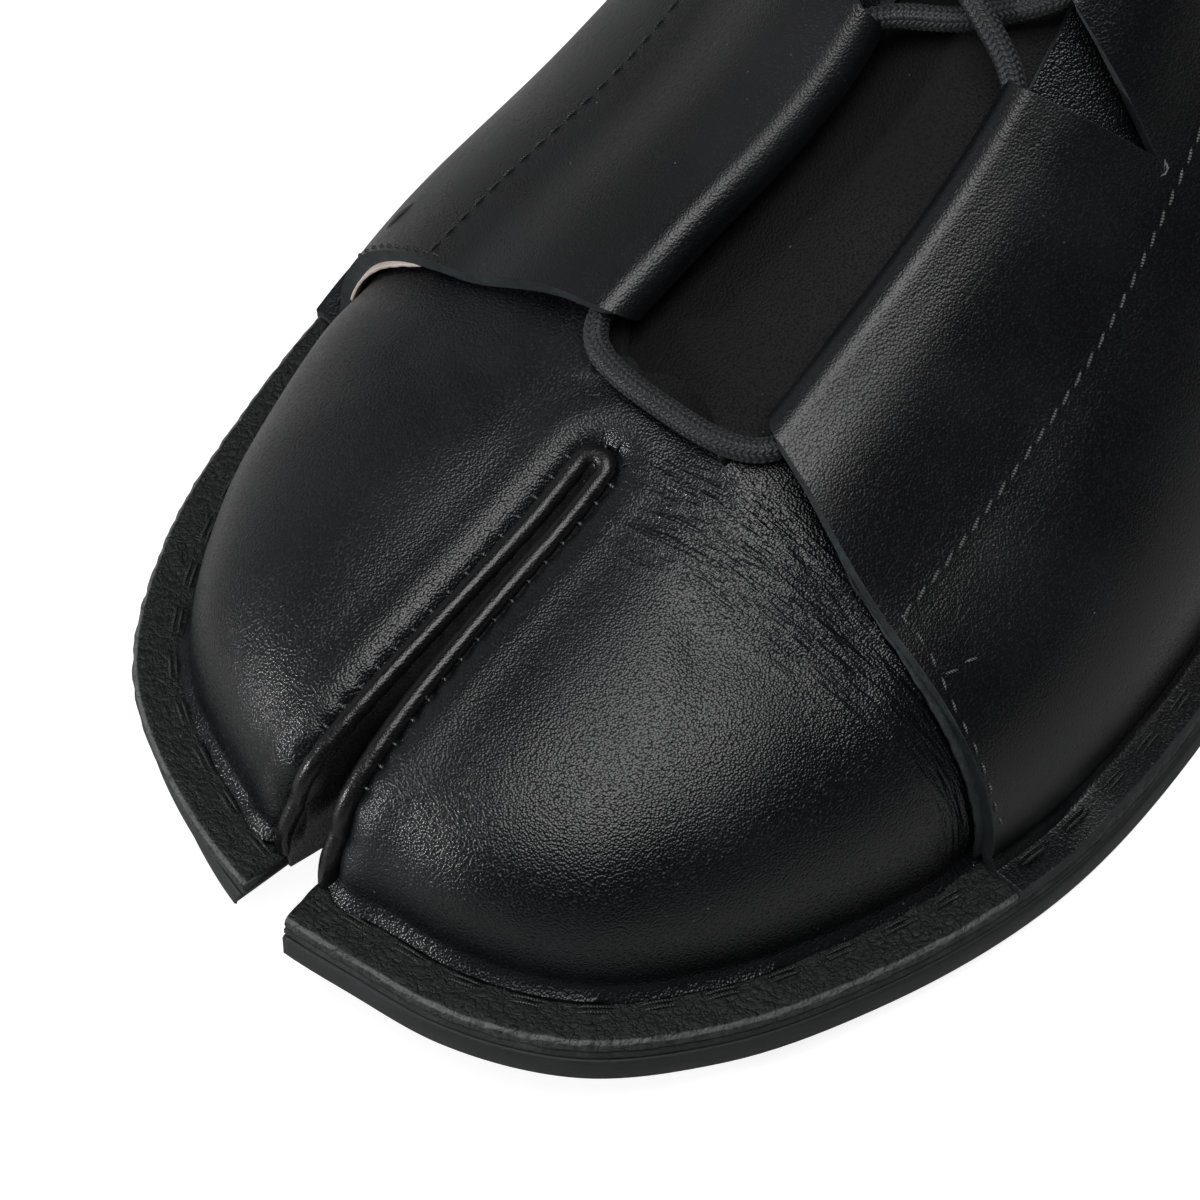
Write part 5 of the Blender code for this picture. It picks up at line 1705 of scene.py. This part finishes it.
def braided(name):
    """The cord's yarn: strands that slant one way and the other by columns, with painted shade making the
    gaps between them near black.
    """
    material, shader, wires = new_material(name)
    own = wires.parts(wires.place("UV"))
    column = wires.math("MULTIPLY", own["Y"], BRAID_COLUMNS / math.tau)
    across = wires.math("SUBTRACT", wires.math("FRACT", column), 0.5)
    odd = wires.math("MODULO", wires.math("FLOOR", column), 2.0)
    slope = wires.math("MULTIPLY", wires.math("SUBTRACT", wires.math("MULTIPLY", odd, 2.0), 1.0), BRAID_SLANT)
    along = wires.math("DIVIDE", own["X"], BRAID_PITCH)
    phase = wires.math("ADD", along, wires.math("MULTIPLY", slope, across))
    stroke = wires.math("SINE", wires.math("MULTIPLY", phase, math.tau))
    edge = wires.ramp(wires.math("ABSOLUTE", across), 0.32, 0.5, 1.0, 0.0)
    yarn = wires.math("MULTIPLY", wires.ramp(stroke, -0.7, 0.5), edge)
    fuzz = wires.noise(wires.place(), YARN_FUZZ, 2.0)
    pale = wires.mix(wires.ramp(fuzz, 0.35, 0.7), YARN_DARK, YARN_PALE)
    wires.put(shader.inputs["Base Color"], wires.mix(yarn, YARN_GAP_SHADE, pale))
    wires.put(shader.inputs["Roughness"], wires.ramp(fuzz, 0.3, 0.7, 0.36, 0.6))
    relief = wires.math("ADD", yarn, wires.math("MULTIPLY", fuzz, YARN_FUZZ_SHARE))
    wires.put(shader.inputs["Normal"], wires.bump(relief, YARN_DEPTH, 0.8))
    shader.inputs["Sheen Weight"].default_value = YARN_SHEEN
    return material


def thread_finish(name):
    """Waxed sewing thread: two plies that wind round each other along the thread, with painted highlights:
    paler ply tops and pale fibre-end specks stand in for glints.
    """
    dark, pale, glint_specks = THREADS[name]
    material, shader, wires = new_material(name)
    own = wires.parts(wires.place("UV"))
    wind = wires.math("ADD", wires.math("MULTIPLY", own["X"], PLY_TURNS), own["Y"])
    ply = wires.math("SINE", wires.math("MULTIPLY", wind, math.tau))
    fuzz = wires.noise(wires.place(), THREAD_FUZZ, 2.0)
    tone = wires.mix(wires.ramp(ply, -0.6, 0.9), dark, pale)
    wires.put(shader.inputs["Base Color"], wires.mix(wires.ramp(fuzz, 0.6, 0.75), tone, glint_specks))
    wires.put(shader.inputs["Roughness"], wires.ramp(fuzz, 0.3, 0.7, 0.35, 0.55))
    wires.put(shader.inputs["Normal"], wires.bump(ply, PLY_DEPTH, 0.9))
    return material


# Stage

PHOTO_PIXELS = 1200.0
PIXELS_PER_MM = 8.8
CAMERA_TARGET = (82.0, -10.0, 0.0)
CAMERA_DISTANCE = 700.0
CAMERA_ELEVATION = math.radians(54.0)
CAMERA_TURN = math.radians(33.0)
SENSOR = 36.0
FLOOR_HALF = 12000.0
FLOOR_GLOW = 0.88
FLOOR_TONES = ((0.42, 0.42, 0.42), (0.45, 0.45, 0.45))
FLOOR_ROUGHNESS = 0.7
FLOOR_MOTTLE = 6.0
NEAR_CLIP = 0.01
WHITE = (1.0, 1.0, 1.0, 1.0)
WORLD_STRENGTH = 0.04
LIGHTS = (
    # name, where it hangs, what it faces, width, length, watts
    ("top_box", (230.0, 190.0, 1270.0), (80.0, 0.0, 0.0), 1000.0, 800.0, 12.0),
    ("toe_top_box", (600.0, -320.0, 1130.0), (110.0, 0.0, 20.0), 500.0, 400.0, 0.5),
    ("inner_box", (250.0, -1450.0, 700.0), (80.0, 0.0, 20.0), 2000.0, 1300.0, 1.9),
    ("toe_box", (1490.0, -650.0, 650.0), (100.0, 0.0, 20.0), 1400.0, 1200.0, 0.8),
    ("rear_box", (-950.0, 150.0, 900.0), (40.0, 0.0, 30.0), 900.0, 600.0, 0.6),
    ("front_box", (765.0, -693.0, 280.0), (132.0, -12.0, 26.0), 70.0, 70.0, 4.0),
)


def aim(piece, place, target):
    """Moves a light or camera to a place, looking at a target."""
    place, target = np.array(place) * MM, np.array(target) * MM
    back = unit(place - target)
    across = unit(np.cross(UPWARD, back))
    above = np.cross(back, across)
    matrix = np.eye(4)
    matrix[:3, :3] = np.column_stack((across, above, back))
    matrix[:3, 3] = place
    piece.matrix_world = mathutils.Matrix(matrix.tolist())


def make_floor(scene):
    """A plain pale floor that glows to the camera alone, so that it stays white without lighting the boot."""
    corners = FLOOR_HALF * MM * np.array(((-1, -1, 0), (1, -1, 0), (1, 1, 0), (-1, 1, 0)))
    mesh = bpy.data.meshes.new("floor")
    mesh.from_pydata(corners.tolist(), [], [(0, 1, 2, 3)])
    floor = bpy.data.objects.new("floor", mesh)
    scene.collection.objects.link(floor)
    material, shader, wires = new_material("white_sweep")
    faint = wires.noise(wires.place(), FLOOR_MOTTLE, 2.0)
    wires.put(shader.inputs["Base Color"], wires.mix(faint, *FLOOR_TONES))
    shader.inputs["Roughness"].default_value = FLOOR_ROUGHNESS
    shader.inputs["Emission Color"].default_value = WHITE
    seen = wires.tree.nodes.new("ShaderNodeLightPath").outputs["Is Camera Ray"]
    wires.put(shader.inputs["Emission Strength"], wires.math("MULTIPLY", seen, FLOOR_GLOW))
    mesh.materials.append(material)


def hang_lights(scene):
    """Soft boxes round the boot, and a faint even sky."""
    for name, place, target, width, length, watts in LIGHTS:
        light = bpy.data.lights.new(name, "AREA")
        light.shape = "RECTANGLE"
        light.size = width * MM
        light.size_y = length * MM
        light.energy = watts
        lamp = bpy.data.objects.new(name, light)
        scene.collection.objects.link(lamp)
        aim(lamp, place, target)

    world = bpy.data.worlds.new("studio")
    scene.world = world
    world.use_nodes = True
    sky = world.node_tree.nodes["Background"]
    sky.inputs["Color"].default_value = WHITE
    sky.inputs["Strength"].default_value = WORLD_STRENGTH


def set_camera(scene):
    """The photo's camera: its lens makes a millimetre at the target as many pixels as in the photo."""
    lens = bpy.data.cameras.new("photo_camera")
    lens.sensor_width = SENSOR
    lens.lens = SENSOR * PIXELS_PER_MM * CAMERA_DISTANCE / PHOTO_PIXELS
    lens.clip_start = NEAR_CLIP
    camera = bpy.data.objects.new("photo_camera", lens)
    scene.collection.objects.link(camera)
    level = math.cos(CAMERA_ELEVATION)
    back = (level * math.cos(CAMERA_TURN), level * math.sin(CAMERA_TURN), math.sin(CAMERA_ELEVATION))
    aim(camera, np.array(CAMERA_TARGET) + CAMERA_DISTANCE * np.array(back), CAMERA_TARGET)
    scene.camera = camera


def make_stage():
    """Floor, lights and camera."""
    scene = bpy.context.scene
    scene.view_settings.view_transform = "Standard"
    make_floor(scene)
    hang_lights(scene)
    set_camera(scene)


def dress():
    """All pieces with their finishes."""
    groups = (pebble_group(), speck_group())
    vamp, quarter, gusset, tongue = [leather(kind, groups) for kind in LEATHERS]
    lining, insole, lit_lining_edge = [suede(name) for name in LININGS]
    threads = [thread_finish(name) for name in THREADS]
    cut = raw_edge("raw_edge_finish", CUT_EDGE)
    # Near-black finish on the insides: painted shade.
    inside = raw_edge("inside_shade_finish", INSIDE_SHADE)

    # face, inside and cut edge for the wall, then for the throat's top, then for its last rows, whose tongue
    # finish is painted shade under the cord
    make_vamp([vamp, lining, cut, vamp, inside, inside, tongue, inside, inside])
    make_flange(wrinkled("flange_finish", groups))
    make_quarter("quarter_outer_sheet", 1, [quarter, inside, cut], "quarter_outer")
    make_quarter("quarter_inner_sheet", -1, [quarter, inside, cut], "quarter_inner")
    make_split([gusset])
    make_tongue([tongue])
    make_lace([braided("cord_finish")])
    make_soles(rubber("outsole_finish", OUTSOLE_BLACK), raw_edge("midsole_finish", BOARD), insole)
    make_heel(rubber("heel_finish", HEEL_BLACK))
    make_seams(threads)
    make_welt(threads)
    # The lining strip takes the lining's paler copy, painted light.
    for strip, finish in zip(STRIPS, (lit_lining_edge, cut)):
        make_strip(*strip, finish)


dress()
make_stage()
